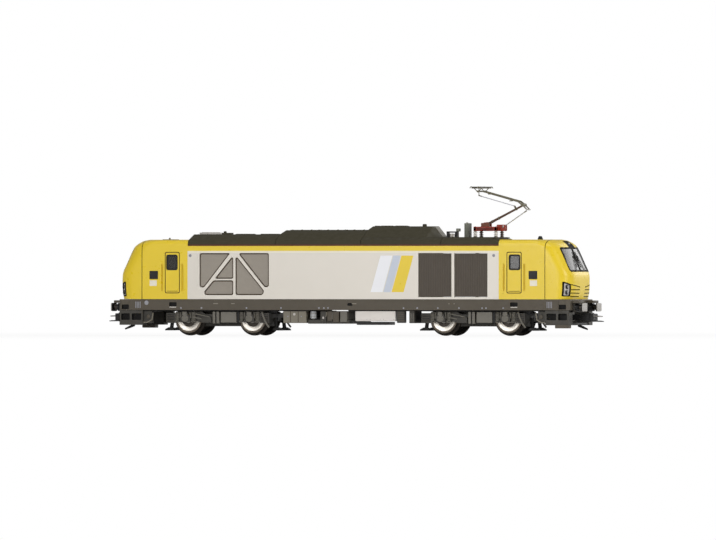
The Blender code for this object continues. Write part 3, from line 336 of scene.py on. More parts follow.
class Part:
    """A mesh in millimetres, built up from solids that each name their look."""

    def __init__(self, end=1, side=1):
        self.bm = bmesh.new()
        self.at(end, side)

    def at(self, end=1, side=1, x=0.0, y=0.0, z=0.0):
        """Sets the origin of what follows, and the signs that mirror it along X and Y."""
        self.signs, self.origin = (end, side, 1), (x, y, z)
        return self

    def spot(self, point):
        return tuple(o + s * v for o, s, v in zip(self.origin, self.signs, point))

    def skin(self, rings, look, bevel=0.0, closed=False):
        """Skin through rings with the same number of points, capped unless it closes."""
        rows = [[self.bm.verts.new(point) for point in ring] for ring in rings]
        count = len(rows[0])
        made = []
        for lower, upper in zip(rows, rows[1:] + rows[:1] if closed else rows[1:]):
            for i in range(count):
                j = (i + 1) % count
                made.append(self.bm.faces.new((lower[i], lower[j], upper[j], upper[i])))
        if not closed:
            made += [self.bm.faces.new(rows[0][::-1]), self.bm.faces.new(rows[-1])]
        bmesh.ops.recalc_face_normals(self.bm, faces=made)
        for face in made:
            face.material_index = ORDER.index(look)
            face.smooth = True
        if bevel:
            edges = {edge for face in made for edge in face.edges}
            edges = [edge for edge in edges if edge.calc_face_angle(0.0) > SHARP]
            bmesh.ops.bevel(self.bm, geom=edges, offset=bevel, segments=2, profile=0.5,
                            affect="EDGES", clamp_overlap=True, material=-1)
        return self

    def loft(self, rings, look, bevel=0.0, closed=False):
        rings = [[self.spot(point) for point in ring] for ring in rings]
        return self.skin(rings, look, bevel, closed)

    def box(self, x, y, z, look, bevel=0.12):
        return self.prism(rectangle(x, y), z, "Z", look, bevel)

    def prism(self, outline, across, axis, look, bevel=0.0):
        place = PLACE[axis]
        return self.loft([[place(a, b, c) for a, b in outline] for c in across], look, bevel)

    def ring(self, outer, inner, across, axis, look):
        """A closed frame between two outlines with the same number of points."""
        place = PLACE[axis]
        low, high = across
        rings = [[place(*a, low), place(*a, high), place(*b, high), place(*b, low)]
                 for a, b in zip(outer, inner)]
        return self.loft(rings, look, closed=True)

    def turned(self, profile, centre, axis, look, facets=24, bevel=0.0):
        """A turned solid; profile is (radius, distance along the axis from centre)."""
        place = PLACE[axis]
        rings = [[tuple(c + o for c, o in zip(centre, place(a, b, height)))
                  for a, b in on_circle(radius, facets, 0.5)] for radius, height in profile]
        return self.loft(rings, look, bevel)

    def tube(self, points, radius, look, sides=10):
        """A round bar along a line of points; radius may be one value for each point."""
        path = [Vector(self.spot(point)) for point in points]
        radii = radius if isinstance(radius, (list, tuple)) else [radius] * len(path)
        steps = [(b - a).normalized() for a, b in zip(path, path[1:])]
        between = [(before + after).normalized() for before, after in zip(steps, steps[1:])]
        tangents = [steps[0], *between, steps[-1]]
        spoke = tangents[0].orthogonal().normalized()
        rings = []
        for i, (point, tangent) in enumerate(zip(path, tangents)):
            if i:
                spoke = tangents[i - 1].rotation_difference(tangent) @ spoke
            other = tangent.cross(spoke)
            rings.append([tuple(point + spoke * a + other * b)
                          for a, b in on_circle(radii[i], sides)])
        return self.skin(rings, look)

    def bar(self, start, end, look, radius=0.3, sides=10):
        return self.tube([start, end], radius, look, sides)

    def bolts(self, points, axis, radius, height, look):
        """Round-headed bolts standing on points."""
        for point in points:
            profile = [(radius, -0.05), (radius, height * 0.6), (radius * 0.6, height)]
            self.turned(profile, point, axis, look, 8)
        return self

    def add(self, other):
        mesh = bpy.data.meshes.new("part")
        other.bm.to_mesh(mesh)
        self.bm.from_mesh(mesh)
        bpy.data.meshes.remove(mesh)
        other.bm.free()
        return self

    def as_object(self):
        mesh = bpy.data.meshes.new("operand")
        self.bm.to_mesh(mesh)
        for look in ORDER:
            mesh.materials.append(LOOKS[look])
        made = bpy.data.objects.new("operand", mesh)
        bpy.context.scene.collection.objects.link(made)
        return made

    def combine(self, others, operation):
        """Exact Boolean with others, whose looks go onto the faces they leave."""
        base = self.as_object()
        group = bpy.data.collections.new("operands")
        tools = [other.as_object() for other in others]
        for tool in tools:
            bpy.context.scene.collection.objects.unlink(tool)
            group.objects.link(tool)
        change = base.modifiers.new("change", "BOOLEAN")
        change.operation = operation
        change.solver = "EXACT"
        change.operand_type = "COLLECTION"
        change.collection = group
        result = base.evaluated_get(bpy.context.evaluated_depsgraph_get())
        mesh = bpy.data.meshes.new_from_object(result)
        self.bm.free()
        self.bm = bmesh.new()
        self.bm.from_mesh(mesh)
        for used in [base, *tools]:
            bpy.data.objects.remove(used, do_unlink=True)
        bpy.data.collections.remove(group)
        bpy.data.meshes.remove(mesh)
        return self

    def cut(self, *others):
        return self.combine(others, "DIFFERENCE")

    def keep(self, other):
        return self.combine([other], "INTERSECT")

    def split(self, point, normal):
        """Cuts the faces along a plane, to give each side its own look."""
        everything = [*self.bm.verts, *self.bm.edges, *self.bm.faces]
        bmesh.ops.bisect_plane(self.bm, geom=everything, dist=0.0001, plane_co=point,
                               plane_no=normal)

    def paint(self, choose):
        """Gives each face the look that choose(centre, look) returns."""
        for face in self.bm.faces:
            look = choose(face.calc_center_median(), ORDER[face.material_index])
            face.material_index = ORDER.index(look)

    def done(self, name, slot, *replaced, body="locomotive_body"):
        """Makes the piece, in metres, riding on its body in place of the CAD nodes."""
        used = sorted({face.material_index for face in self.bm.faces})
        for face in self.bm.faces:
            face.material_index = used.index(face.material_index)
            face.smooth = True
        mesh = bpy.data.meshes.new(name)
        bmesh.ops.triangulate(self.bm, faces=[f for f in self.bm.faces if len(f.verts) > 4])
        self.bm.to_mesh(mesh)
        self.bm.free()
        mesh.transform(Matrix.Scale(MM, 4) @ Matrix.Translation((0, 0, RAIL_TOP)))
        for index in used:
            mesh.materials.append(LOOKS[ORDER[index]])
        mesh.set_sharp_from_angle(angle=SHARP)
        made = bpy.data.objects.new(name, mesh)
        bpy.context.scene.collection.objects.link(made)
        made.modifiers.new("normals", "WEIGHTED_NORMAL").keep_sharp = True
        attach(made, body)
        if replaced:
            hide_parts(*replaced)


# ---- body and noses -----------------------------------------------------------------
WALL = 1.5
ROOF_RADIUS = 2.4               # of the cab roof's long edges
FLOOR = SILL_TOP - PAST         # where cutters of the hollow body start
GRILLE_BOX = BOX["side_grille_right"]
LIP = 1.5                       # how far the grille insert reaches past its openings
OPENING_TOP = GRILLE_BOX.z1 - LIP
GRILLE = (GRILLE_BOX.x0 + LIP, GRILLE_BOX.x1 - LIP, GRILLE_BOX.z0 + LIP, OPENING_TOP)
LOUVRES = [(BOX[f"louvre_panel_{n}_right"].x0 - GAP, BOX[f"louvre_panel_{n}_right"].x1 + GAP)
           for n in (1, 2)]
LOUVRE_FOOT = BOX["louvre_panel_1_right"].z0 - GAP
STRIPE_LOW = OPENING_TOP + 1.0  # lower edge of the yellow stripe below the roof
LINE_LOW = OPENING_TOP + 0.1    # lower edge of the cream line below it
YELLOW_FROM = CAB_WALL - 0.15   # the cab ends are yellow from here on
DOOR = (CAB_WALL + 3.65, CAB_WALL + 10.95)
DOOR_Z = (SILL_TOP + 2.8, ROOF - 5.6)
WINDOW = (CAB_WALL + 4.65, CAB_WALL + 10.35)
WINDOW_Z = (ROOF - 14.0, ROOF - 6.8)
RAILS = (DOOR[0] - 1.3, DOOR[1] + 1.3)          # handrails beside the door
# blank plates behind each nose seam; columns: along, heights, look
PLATES = (
    ((CAB_WALL + 14.3, CAB_WALL + 18.5), (24.8, 28.6), "black"),
    ((CAB_WALL + 14.9, CAB_WALL + 18.4), (21.7, 24.3), "cream"),
)
# plain slanted bars on the side; columns: range at the bottom, range at the top, look
BARS = (
    ((13.6, 19.4), (18.4, 24.2), "white"),
    ((19.8, 23.4), (24.6, 28.2), "pale_blue_grey"),
    ((23.8, 29.6), (28.6, 34.4), "yellow"),
)
BAR_Z = (18.9, 35.6)
# outline of each field between the lattice bars, as shares of the grille along and up
LATTICE = (
    ((0.0, 0.19), (0.065, 0.175), (0.445, 1.0), (0.0, 1.0)),
    ((0.216, 0.388), (0.488, 0.388), (0.488, 0.885), (0.464, 0.905)),
    ((0.08, 0.0), (0.488, 0.0), (0.488, 0.352), (0.2, 0.352), (0.062, 0.075)),
    ((0.518, 0.0), (0.908, 0.0), (0.936, 0.095), (0.545, 0.905), (0.518, 0.885)),
    ((0.938, 0.18), (1.0, 0.2), (1.0, 1.0), (0.573, 1.0), (0.578, 0.945)),
)
# nose plan at each height: share of the height from sill to roof, front and shoulder
# from the end of the buffers, squareness (exponent of a superellipse)
NOSE_PLANS = (
    (0.0, -5.6, -15.3, 3.8),
    (0.128, -4.9, -15.3, 3.8),
    (0.237, -4.7, -15.3, 3.8),
    (0.409, -4.8, -15.3, 3.8),
    (0.478, -5.4, -15.5, 3.8),
    (0.566, -6.6, -16.5, 3.8),
    (0.657, -7.6, -17.5, 3.5),
    (0.763, -8.7, -18.8, 3.2),
    (0.836, -9.6, -19.5, 3.0),
    (0.887, -10.2, -20.5, 2.8),
    (0.938, -11.6, -22.5, 2.5),
    (0.982, -13.6, -25.0, 2.2),
    (1.0, -15.8, -28.0, 2.1),
)
NOSE_LEVELS = 34
NOSE_STEPS = 20                 # points around each corner
NOSE_REACH = (SEAM - PAST, SPAN + PAST)
WINDSCREEN = (ROOF - 14.0, ROOF - 4.1)
WINDSCREEN_HALF = (HALF - 4.95, HALF - 5.15)    # at the bottom and at the top
PILLAR_HALF = 0.6
ACROSS = (-HALF - PAST, HALF + PAST)


def roof_half_width(height):
    start = ROOF - ROOF_RADIUS
    if height <= start:
        return HALF
    rise = min(height - start, ROOF_RADIUS)
    return HALF - ROOF_RADIUS + math.sqrt(ROOF_RADIUS ** 2 - rise ** 2)


def plan_at(share):
    """The nose plan at a share of its height, on a smooth curve through the table."""
    last = len(NOSE_PLANS) - 1
    k = max(i for i, row in enumerate(NOSE_PLANS[:-1]) if row[0] <= share)
    below, low, high, above = (NOSE_PLANS[i] for i in (max(k - 1, 0), k, k + 1, min(k + 2, last)))
    room = high[0] - low[0]
    t = (share - low[0]) / room
    values = []
    for column in (1, 2, 3):
        a, b = low[column], high[column]
        slope0 = (b - below[column]) / (low[0] - below[0] + room) * room
        slope1 = (above[column] - a) / (above[0] - high[0] + room) * room
        values.append(a * (2 * t ** 3 - 3 * t ** 2 + 1) + slope0 * (t ** 3 - 2 * t ** 2 + t)
                      + b * (3 * t ** 2 - 2 * t ** 3) + slope1 * (t ** 3 - t ** 2))
    return values


def nose_side(share, inward):
    """Height and points (x, y) of the nose plan, from the shoulder to the front."""
    full = ROOF - SILL_TOP
    front, shoulder, squareness = plan_at(share)
    half = roof_half_width(SILL_TOP + share * full) - inward
    turn = SPAN + shoulder - inward / 2
    reach = SPAN + front - inward - turn
    points = []
    for i in range(NOSE_STEPS):
        angle = math.pi / 2 * i / NOSE_STEPS
        points.append((turn + reach * math.sin(angle) ** (2 / squareness),
                       half * math.cos(angle) ** (2 / squareness)))
    return SILL_TOP + share * (full - inward), points + [(turn + reach, 0.0)]


def nose_rings(inward, bottom, closed_by):
    """Rings up the nose; closed_by adds the rest of each outline (x, y)."""
    shares = {row[0] for row in NOSE_PLANS} | {i / NOSE_LEVELS for i in range(NOSE_LEVELS)}
    rings = []
    for share in sorted(shares):
        height, side = nose_side(share, inward)
        outline = closed_by(side + [(x, -y) for x, y in reversed(side[:-1])])
        rings.append([(x, y, height if rings else bottom) for x, y in outline])
    return rings


def nose_volume(end, inward, back, bottom, look="yellow"):
    """The closed volume of one cab, moved in by inward, from back to the nose."""
    rings = nose_rings(inward, bottom,
                       lambda nose: [(back, nose[0][1]), *nose, (back, nose[-1][1])])
    return Part(end).loft(rings, look)


def lattice_outlines(shrink, radius):
    start, stop, low, high = GRILLE
    fields = [[(start + (stop - start) * a, low + (high - low) * b) for a, b in field]
              for field in LATTICE]
    return [rounded(inset(field, shrink), radius) for field in fields]


def side_cuts(outline, depth, look, ends=(1,), inner=None):
    """Cutters that go depth deep into both sides; with inner they cut a line only."""
    across, cuts = (HALF - depth, HALF + PAST), []
    for end, side in CORNERS:
        if end in ends:
            cut = Part(end, side)
            cuts.append(cut.ring(outline, inner, across, "Y", look) if inner
                        else cut.prism(outline, across, "Y", look))
    return cuts


def body_zone(centre, look):
    """Cab ends and the stripe are yellow, with a cream line above the silver."""
    if look != "silver":
        return look
    if abs(centre.x) > YELLOW_FROM or centre.z > STRIPE_LOW:
        return "yellow"
    return "cream" if centre.z > LINE_LOW else "silver"


def build_body():
    middle = (-CAB_WALL + GAP, CAB_WALL - GAP)
    rings = nose_rings(0, SILL_TOP + GAP, lambda nose: nose + [(-x, -y) for x, y in nose])
    shell = Part().loft(rings, "silver")
    cutters = [Part().box(middle, ACROSS, (ROOF_EDGE - GAP, ROOF + PAST), "silver", 0),
               Part().box(middle, (-HALF + WALL, HALF - WALL), (FLOOR, ROOF), "interior", 0)]
    for end in BOTH:
        cutters += [
            Part(end).box((SEAM - GAP, SPAN), ACROSS, (FLOOR, ROOF + PAST), "rubber", 0),
            nose_volume(end, WALL, CAB_WALL + WALL, FLOOR, "interior"),
            Part(end).prism(rectangle(WINDOW, WINDOW_Z, 1.1), ACROSS, "Y", "silver")]
    door = rectangle(DOOR, DOOR_Z)
    cutters += side_cuts(rounded(door, 0.9), 0.18, "line_dark", BOTH,
                         rounded(inset(door, 0.38), 0.7))
    threshold = rectangle((DOOR[0] + 0.9, DOOR[1] - 0.9), around(DOOR_Z[0] + 1.0, 0.13))
    cutters += side_cuts(threshold, 0.15, "line_dark", BOTH)
    for x in RAILS:
        rail = rectangle(around(x, 0.45), (SILL_TOP + 3.8, ROOF - 11), 0.4)
        cutters += side_cuts(rail, 0.5, "silver", BOTH)
    openings = lattice_outlines(0, 1.0)
    openings += [rectangle(louvre, (LOUVRE_FOOT, OPENING_TOP), 0.25) for louvre in LOUVRES]
    cutters += [Part().prism(opening, ACROSS, "Y", "silver") for opening in openings]
    shell.cut(*cutters)
    marks = []
    for x, z, look in PLATES:
        marks += side_cuts(rectangle(x, z, 0.2), 0.04, look, BOTH)
    for foot, head, look in BARS:
        bar = [*((x, BAR_Z[0]) for x in foot), *((x, BAR_Z[1]) for x in reversed(head))]
        marks += side_cuts(bar, 0.03, look)
    shell.cut(*marks)
    for end in BOTH:
        shell.split((end * YELLOW_FROM, 0, 0), (1, 0, 0))
    for height in (STRIPE_LOW, LINE_LOW):
        shell.split((0, 0, height), (0, 0, 1))
    shell.paint(body_zone)
    shell.done("body_sides", "silver_paint", "body_shell")


def build_doors():
    """Gasket around each door window, handrails, handles and small marks."""
    part = Part()
    gasket = rectangle((WINDOW[0] + 0.05, WINDOW[1] - 0.05), (WINDOW_Z[0] + 0.05, WINDOW_Z[1] - 0.05))
    opening = rounded(inset(gasket, 0.72), 0.8)
    gasket = rounded(gasket, 1.1)
    rail_z, lock = (SILL_TOP + 4.3, ROOF - 11.5), (DOOR[0] + 1.1, DOOR_Z[0] + 2.6)
    for end, side in CORNERS:
        part.at(end, side).ring(gasket, opening, (HALF - 1.02, HALF - 0.12), "Y", "black")
        for x in RAILS:
            out, deep = HALF - 0.22, HALF - 0.6
            part.tube([(x, deep, rail_z[0]), (x, out, rail_z[0] + 0.35),
                       (x, out, rail_z[1] - 0.35), (x, deep, rail_z[1])], 0.1, "yellow", 8)
        y = (HALF - 0.3, HALF - 0.02)
        for x, z in (((lock[0], lock[0] + 0.28), (lock[1] - 0.9, lock[1] + 0.8)),
                     ((lock[0] - 0.7, lock[0]), around(lock[1] - 0.8, 0.14))):
            part.box(x, y, z, "line_dark", 0.05)
        part.at(end).bolts([(DOOR[0] - 1.6, side * (HALF - 0.08), DOOR_Z[0] + 0.1)], "Y", 0.24,
                           side * 0.08, "line_dark")
        part.turned([(0.7, 0), (0.7, 0.06), (0.5, 0.07)],
                    (CAB_WALL - 1.9, side * (HALF - 0.07), OPENING_TOP - 1.1), "Y", "mark_grey",
                    20)
    part.done("door_fittings", "black_plastic")


def build_grille(side, word):
    """Insert behind the lattice: dark plate with a wire-mesh field in each opening; the dark plate
    and a dark border round each field are painted shade at the openings' edges.
    """
    back = HALF - WALL - GAP
    # dark back plate, painted shade seen at the openings' edges
    part = Part(1, side).box(GRILLE_BOX.ranges[0], (back - 1.0, back), GRILLE_BOX.ranges[2],
                             "black", 0.1)
    for outline, inner in zip(lattice_outlines(GAP, 0.9), lattice_outlines(0.55, 0.7)):
        # a dark border round each mesh field, painted shade at the opening's edge
        part.prism(outline, (back - 0.5, HALF - 0.75), "Y", "line_dark")
        part.prism(inner, (back - 0.4, HALF - 0.45), "Y", "mesh")
    part.done(f"cooling_grille_{word}", "mesh_grey", f"side_grille_{word}")


def build_louvre(number, side, word):
    """Upright slats in a thin frame."""
    start, stop = LOUVRES[number - 1]
    outer = rectangle((start + GAP, stop - GAP), (LOUVRE_FOOT + GAP, OPENING_TOP - GAP))
    face = HALF - 0.3
    part = Part(1, side).prism(rounded(inset(outer, 0.3), 0.2), (face - 0.9, face - 0.1), "Y",
                               "louvre")
    part.ring(rounded(outer, 0.25), rounded(inset(outer, 0.42), 0.2), (face - 1.0, face), "Y",
              "sill")
    part.done(f"louvre_{number}_{word}", "dark_grey", f"louvre_panel_{number}_{word}")


# ---- noses: windscreen, lamps, slots ------------------------------------------------
def trapezium(halves, heights):
    """Outline (y, z) with a half width at each height."""
    low, high = heights
    return [(-halves[0], low), (halves[0], low), (halves[1], high), (-halves[1], high)]


SCREEN_FRAME = trapezium((HALF - 4.35, HALF - 4.55), (WINDSCREEN[0] - 0.7, WINDSCREEN[1] + 0.6))
BROW_Z = (WINDSCREEN[1] + 0.3, ROOF - 0.6)      # dark panel above it, with the upper lamp
LAMP = ((13.0, 16.9), (16.6, 16.9), (16.6, 23.8), (13.0, 22.5))
LAMP_BED, LAMP_OPENING = rounded(inset(LAMP, 0.45), 0.35), rounded(inset(LAMP, 0.5), 0.35)
LAMP_LENSES = ((14.6, 21.3), (14.6, 18.8))
# columns: height of each slot at the lamp and at the middle
SLOTS = ((22.3, 21.2), (20.0, 20.0), (18.5, 18.4), (16.9, 16.8))
SLOT_REACH = (3.4, 12.9)
NOSE_BACK = SEAM - 12.0
DEEP = (SEAM + 1.5, SPAN)       # reach of what is cut into the front only


def screen_half(grow, radius):
    """Outline (y, z) of one half of the windscreen, made larger by grow."""
    low, high = WINDSCREEN[0] - grow, WINDSCREEN[1] + grow
    wide_low, wide_high = (half + grow for half in WINDSCREEN_HALF)
    return rounded([(PILLAR_HALF - grow, low), (wide_low, low), (wide_high, high),
                    (PILLAR_HALF - grow, high)], radius)


def skin_patch(end, outline, proud, depth, look, side=1):
    """A piece of the nose's skin inside an outline (y, z)."""
    patch = nose_volume(end, -proud, NOSE_BACK, SILL_TOP, look)
    core = nose_volume(end, depth, NOSE_BACK - PAST, FLOOR, look)
    return patch.keep(Part(end, side).prism(outline, DEEP, "X", look)).cut(core)


def nose_front(y, z):
    """How far the nose reaches along X at a place on it."""
    front, shoulder, squareness = plan_at((z - SILL_TOP) / (ROOF - SILL_TOP))
    cosine = (abs(y) / roof_half_width(z)) ** (squareness / 2)
    sine = math.sqrt(max(1 - cosine ** 2, 0.0))
    return SPAN + shoulder + (front - shoulder) * sine ** (2 / squareness)


def on_nose(points, proud):
    """Places (x, y, z) on the nose, given as (y, z)."""
    return [(nose_front(y, z) + proud, y, z) for y, z in points]


def build_nose(end, number):
    back = SEAM - 14.0
    shell = nose_volume(end, 0, back, SILL_TOP + GAP)
    cutters = [nose_volume(end, WALL, back - PAST, FLOOR, "interior"),
               Part(end).box((back - 2 * PAST, SEAM + GAP), ACROSS, (FLOOR, ROOF + PAST),
                             "interior", 0)]
    shallow = []
    for side in BOTH:
        cutters.append(Part(end, side).prism(screen_half(0, 0.9), (NOSE_REACH[0], SPAN), "X",
                                             "rubber"))
        slots = [rounded([(SLOT_REACH[0], middle - 0.2), (SLOT_REACH[1], lamp - 0.2),
                          (SLOT_REACH[1], lamp + 0.22), (SLOT_REACH[0], middle + 0.2)], 0.15)
                 for lamp, middle in SLOTS]
        shallow += [Part(end, side).prism(outline, DEEP, "X", "rubber")
                    for outline in (rounded(LAMP, 0.5), *slots)]
    core = nose_volume(end, 0.7, back, FLOOR, "rubber")
    recess = shallow[0].combine(shallow[1:], "UNION").cut(core)
    shell.cut(*cutters).cut(recess)
    shell.done(f"nose_{number}", "yellow_paint", f"nose_shell_{number}")


def build_glazing(end, number):
    """Windscreen panes and door windows."""
    panes = nose_volume(end, 0.12, NOSE_BACK, SILL_TOP, "glass")
    openings = Part()
    for side in BOTH:
        openings.at(end, side).prism(screen_half(-0.08, 0.85), (NOSE_REACH[0], SPAN), "X", "glass")
    panes.keep(openings).cut(nose_volume(end, 0.75, NOSE_BACK - PAST, FLOOR, "glass"))
    window = inset(rectangle(WINDOW, WINDOW_Z), 0.75)
    for side in BOTH:
        panes.at(end, side).prism(rounded(window, 0.8), (HALF - 0.85, HALF - 0.3), "Y", "glass")
    panes.done(f"cab_panes_{number}", "tinted_glass", f"cab_glazing_{number}")


def build_nose_trim(end, number):
    """Dark windscreen surround, brow with the upper lamp, wipers and head lamps."""
    trim = skin_patch(end, rounded(SCREEN_FRAME, 1.3), 0.06, 0.5, "screen_black")
    trim.cut(*[Part(end, side).prism(screen_half(-0.02, 0.9), NOSE_REACH, "X", "black")
               for side in BOTH])
    trim.add(skin_patch(end, rounded(trapezium((4.2, 3.6), BROW_Z), 0.6), 0.05, 0.5,
                        "screen_black"))
    pivot, tip = (6.2, WINDSCREEN[0] - 0.35), (2.6, WINDSCREEN[0] + 6.6)
    foot = (3.2, WINDSCREEN[0] + 1.4)
    for side in BOTH:
        rim = skin_patch(end, rounded(LAMP, 0.5), -0.03, 0.65, "screen_black", side)
        rim.cut(Part(end, side).prism(LAMP_OPENING, NOSE_REACH, "X", "black"))
        trim.add(skin_patch(end, LAMP_BED, -0.35, 0.8, "pale_grey", side)).add(rim)
        trim.at(end, side)
        for centre in on_nose(LAMP_LENSES, 0.0):
            trim.turned([(0.98, -0.9), (0.98, -0.12), (0.82, -0.05), (0.7, -0.3)], centre, "X",
                        "black", 20)
            trim.turned([(0.72, -0.6), (0.72, -0.25), (0.45, -0.08), (0.1, -0.03)], centre, "X",
                        "lens", 20)
        wiper = [along(pivot, tip, share) for share in (0.0, 0.35, 0.7, 1.0)]
        trim.tube(on_nose(wiper, 0.12), 0.14, "rubber", 6)
        blade = [along(foot, (1.6, WINDSCREEN[0] + 8.4), share) for share in (0.0, 0.5, 1.0)]
        trim.tube(on_nose(blade, 0.06), 0.16, "rubber", 6)
        trim.turned([(0.42, 0), (0.42, 0.25), (0.28, 0.3)], on_nose([pivot], -0.1)[0], "X",
                    "rubber", 12)
        if end < 0:
            trim.turned([(0.62, -0.5), (0.62, 0.3), (0.4, 0.36)], (103.5, HALF - 0.75, 21.5),
                        "Y", "red_brown", 14)
    trim.at(end).turned([(0.75, -0.8), (0.75, 0.02), (0.6, 0.0)],
                        on_nose([(0.0, sum(BROW_Z) / 2)], 0.0)[0], "X", "lens", 20)
    trim.done(f"nose_trim_{number}", "black_plastic")


# ---- roof ---------------------------------------------------------------------------
ROOF_BAND = 2.1                 # upright foot of each roof section
ROOF_PITCH = 1.95               # run for each millimetre that the sides rise above it
SECTIONS = ("roof_radiator_section", "roof_engine_section", "roof_exhaust_hood",
            "roof_pantograph_deck")
HALF_ROOF = HALF - 0.4
# columns: length and foot above the cab roof of the slope at the start, the same at the end,
# flat ledge before the slope at the end
SLOPES = ((0.8, 0.0, 0.0, 0.0, 0.0), (1.8, 2.45, 0.0, 0.0, 0.0), (1.4, 4.35, 4.2, 1.0, 3.6),
          (0.0, 0.0, 3.0, 0.0, 0.0))
CORNER_RUN = 0.43               # how far a slanted end falls back for each millimetre across
CORNER_FRONT = 3.0              # half width of its straight middle


def climbed(height, start, top):
    return min(max((height - start) / (top - start), 0.0), 1.0)


def roof_side(height):
    """Half width of the roof at a height."""
    return HALF_ROOF - ROOF_PITCH * max(height - ROOF_EDGE - GAP - ROOF_BAND, 0.0)


def roof_blank(index):
    """A roof section's solid: the upper part stands on a lower one with straight ends."""
    box = BOX[SECTIONS[index]]
    length0, foot0, length1, foot1, ledge = SLOPES[index]
    base, top = box.z0, box.z1
    band = base + ROOF_BAND
    foot0, foot1 = max(ROOF + foot0, band), max(ROOF + foot1, band)
    split = foot1 if length1 else top
    lower, upper = [], []
    for height in sorted({base, band, foot0, foot1, top}):
        x0 = box.x0 - 0.1 + length0 * climbed(height, foot0, top)
        x1 = box.x1 + 0.1
        y = roof_side(height)
        if height <= split:
            lower.append([(a, b, height) for a, b in rectangle((x0, x1), (-y, y))])
        if length1 and height >= split:
            front = x1 - ledge - length1 * climbed(height, foot1, top)
            back = front - CORNER_RUN * (y - CORNER_FRONT)
            outline = [(x0, -y), (back, -y), (front, -CORNER_FRONT), (front, CORNER_FRONT),
                       (back, y), (x0, y)]
            if not upper:
                upper.append([(a, b * 0.96, height - 0.5) for a, b in outline])
            upper.append([(a, b, height) for a, b in outline])
    part = Part().loft(lower, "roof", 0.22)
    if upper:
        part.loft(upper, "roof", 0.15)
    return part.at(x=box.x0, z=top)


def build_radiator_roof():
    """Cover plate, aerial foot and two fans under round grilles."""
    part = roof_blank(0)
    part.prism(rectangle((1.6, 8.4), (-7.0, 7.0), 1.2), (-0.3, 0.85), "Z", "pale_grey", 0.2)
    for i in range(7):
        part.box((2.6, 7.4), around(-5.4 + 1.8 * i, 0.3), (0.7, 1.0), "tank", 0.08)
    part.box((10.9, 15.4), (-1.8, 1.8), (-0.2, 0.75), "roof", 0.25)
    part.turned([(0.7, 0.5), (0.7, 1.2), (0.4, 1.5)], (11.9, 0, 0), "Z", "roof", 14)
    for x in (22.0, 34.0):
        part.turned([(4.5, -0.3), (4.5, 0.22), (4.1, 0.28), (4.1, 0.05)], (x, 0, 0), "Z", "roof",
                    40)
        part.turned([(1.1, 0.0), (1.1, 0.26), (0.8, 0.3)], (x, 0, 0), "Z", "sill", 18)
        for a, b in on_circle(4.1, 12):
            part.bar((x, 0.0, 0.14), (x + a, b, 0.14), "sill", 0.12, 6)
    edge = roof_side(part.origin[2]) - 0.5
    part.bolts([(2.6 + 4.6 * i, side * edge, 0) for i in range(9) for side in BOTH], "Z", 0.22,
               0.14, "roof")
    part.done("radiator_roof", "roof_grey", SECTIONS[0])


def build_engine_roof():
    """Three bolted hatches."""
    part = roof_blank(1)
    for x in (3.4, 16.2, 29.0):
        part.prism(rectangle((x, x + 11.4), (-7.0, 7.0), 0.7), (-0.2, 0.16), "Z", "roof", 0.08)
        part.bolts([(x + a, b, 0.16) for a in (1.0, 5.7, 10.4) for b in (-6.0, 6.0)], "Z", 0.24,
                   0.15, "roof")
    part.done("engine_roof", "roof_grey", SECTIONS[1])


def build_exhaust_hood():
    """Seam at the start, exhaust openings on top, louvres on the slope at the end, on a face painted
    light grey as a highlight.
    """
    box = BOX[SECTIONS[2]]
    part = roof_blank(2)
    part.turned([(1.0, -0.2), (1.0, 0.7), (0.8, 1.0), (0.5, 1.05)], (25.0, 0, 0), "Z", "roof", 20)
    part.box((1.6, 2.5), (-2.5, 2.5), (-0.2, 0.3), "roof", 0.12)
    for x in (4.0, 11.0):
        part.prism(rectangle((x, x + 5.6), (-3.2, 3.2), 0.9), (-0.2, 0.22), "Z", "roof", 0.1)
        for k in range(5):
            part.box((x + 0.7, x + 4.9), around(-2.2 + 1.1 * k, 0.28), (0.1, 0.34), "sill", 0.06)
    low, high = box.z0 + 0.3, ROOF + SLOPES[2][1] + 0.02
    slant = [(box.x0 + 0.1, low), (box.x0 + 0.6, low), (box.x0 - 1.3, high), (box.x0 - 1.8, high)]
    for side in BOTH:
        part.at(1, side).loft([[(x, roof_side(z) + out, z) for x, z in slant]
                               for out in (-0.3, 0.03)], "rubber")
    length, foot, ledge = SLOPES[2][2], ROOF + SLOPES[2][3], SLOPES[2][4]
    rise = box.z1 - foot

    def on_slope(share):
        return box.x1 - ledge - length * share, foot + rise * share

    lift = Vector((rise, 0.0, length)).normalized() * 0.14
    width = CORNER_FRONT - 0.25
    # face on the end slope, painted light grey as the highlight the slope catches
    face = [Vector((on_slope(share)[0], side * width, on_slope(share)[1]))
            for share, side in ((0.06, -1), (0.06, 1), (0.94, 1), (0.94, -1))]
    part.at().loft([[corner + lift * step for corner in face] for step in BOTH], "grille_light",
                   0.06)
    for k in range(8):
        x, z = on_slope(0.13 + 0.105 * k)
        part.box((x + 0.06, x + 0.3), around(0.0, CORNER_FRONT - 0.5), around(z, 0.1),
                 "grille_dark", 0.04)
    part.done("exhaust_roof", "roof_grey", SECTIONS[2])


def build_deck():
    box = BOX[SECTIONS[3]]
    part = roof_blank(3)
    for y in (-9.5, 9.5):
        part.box((1.0, box.x1 - box.x0 - 4.0), around(y, 0.9), (-0.1, 0.14), "roof", 0.06)
    part.done("pantograph_deck", "roof_grey", SECTIONS[3])


def build_roof_edge():
    """Red-brown line along the foot of the roof."""
    part = Part()
    for side in BOTH:
        part.at(1, side).box((-CAB_WALL + 0.35, CAB_WALL - 0.35),
                             (HALF_ROOF - 1.6, HALF_ROOF + 0.08),
                             (ROOF_EDGE - 0.14, ROOF_EDGE + 0.52), "red_brown", 0.06)
    part.done("roof_edge_line", "roof_grey")


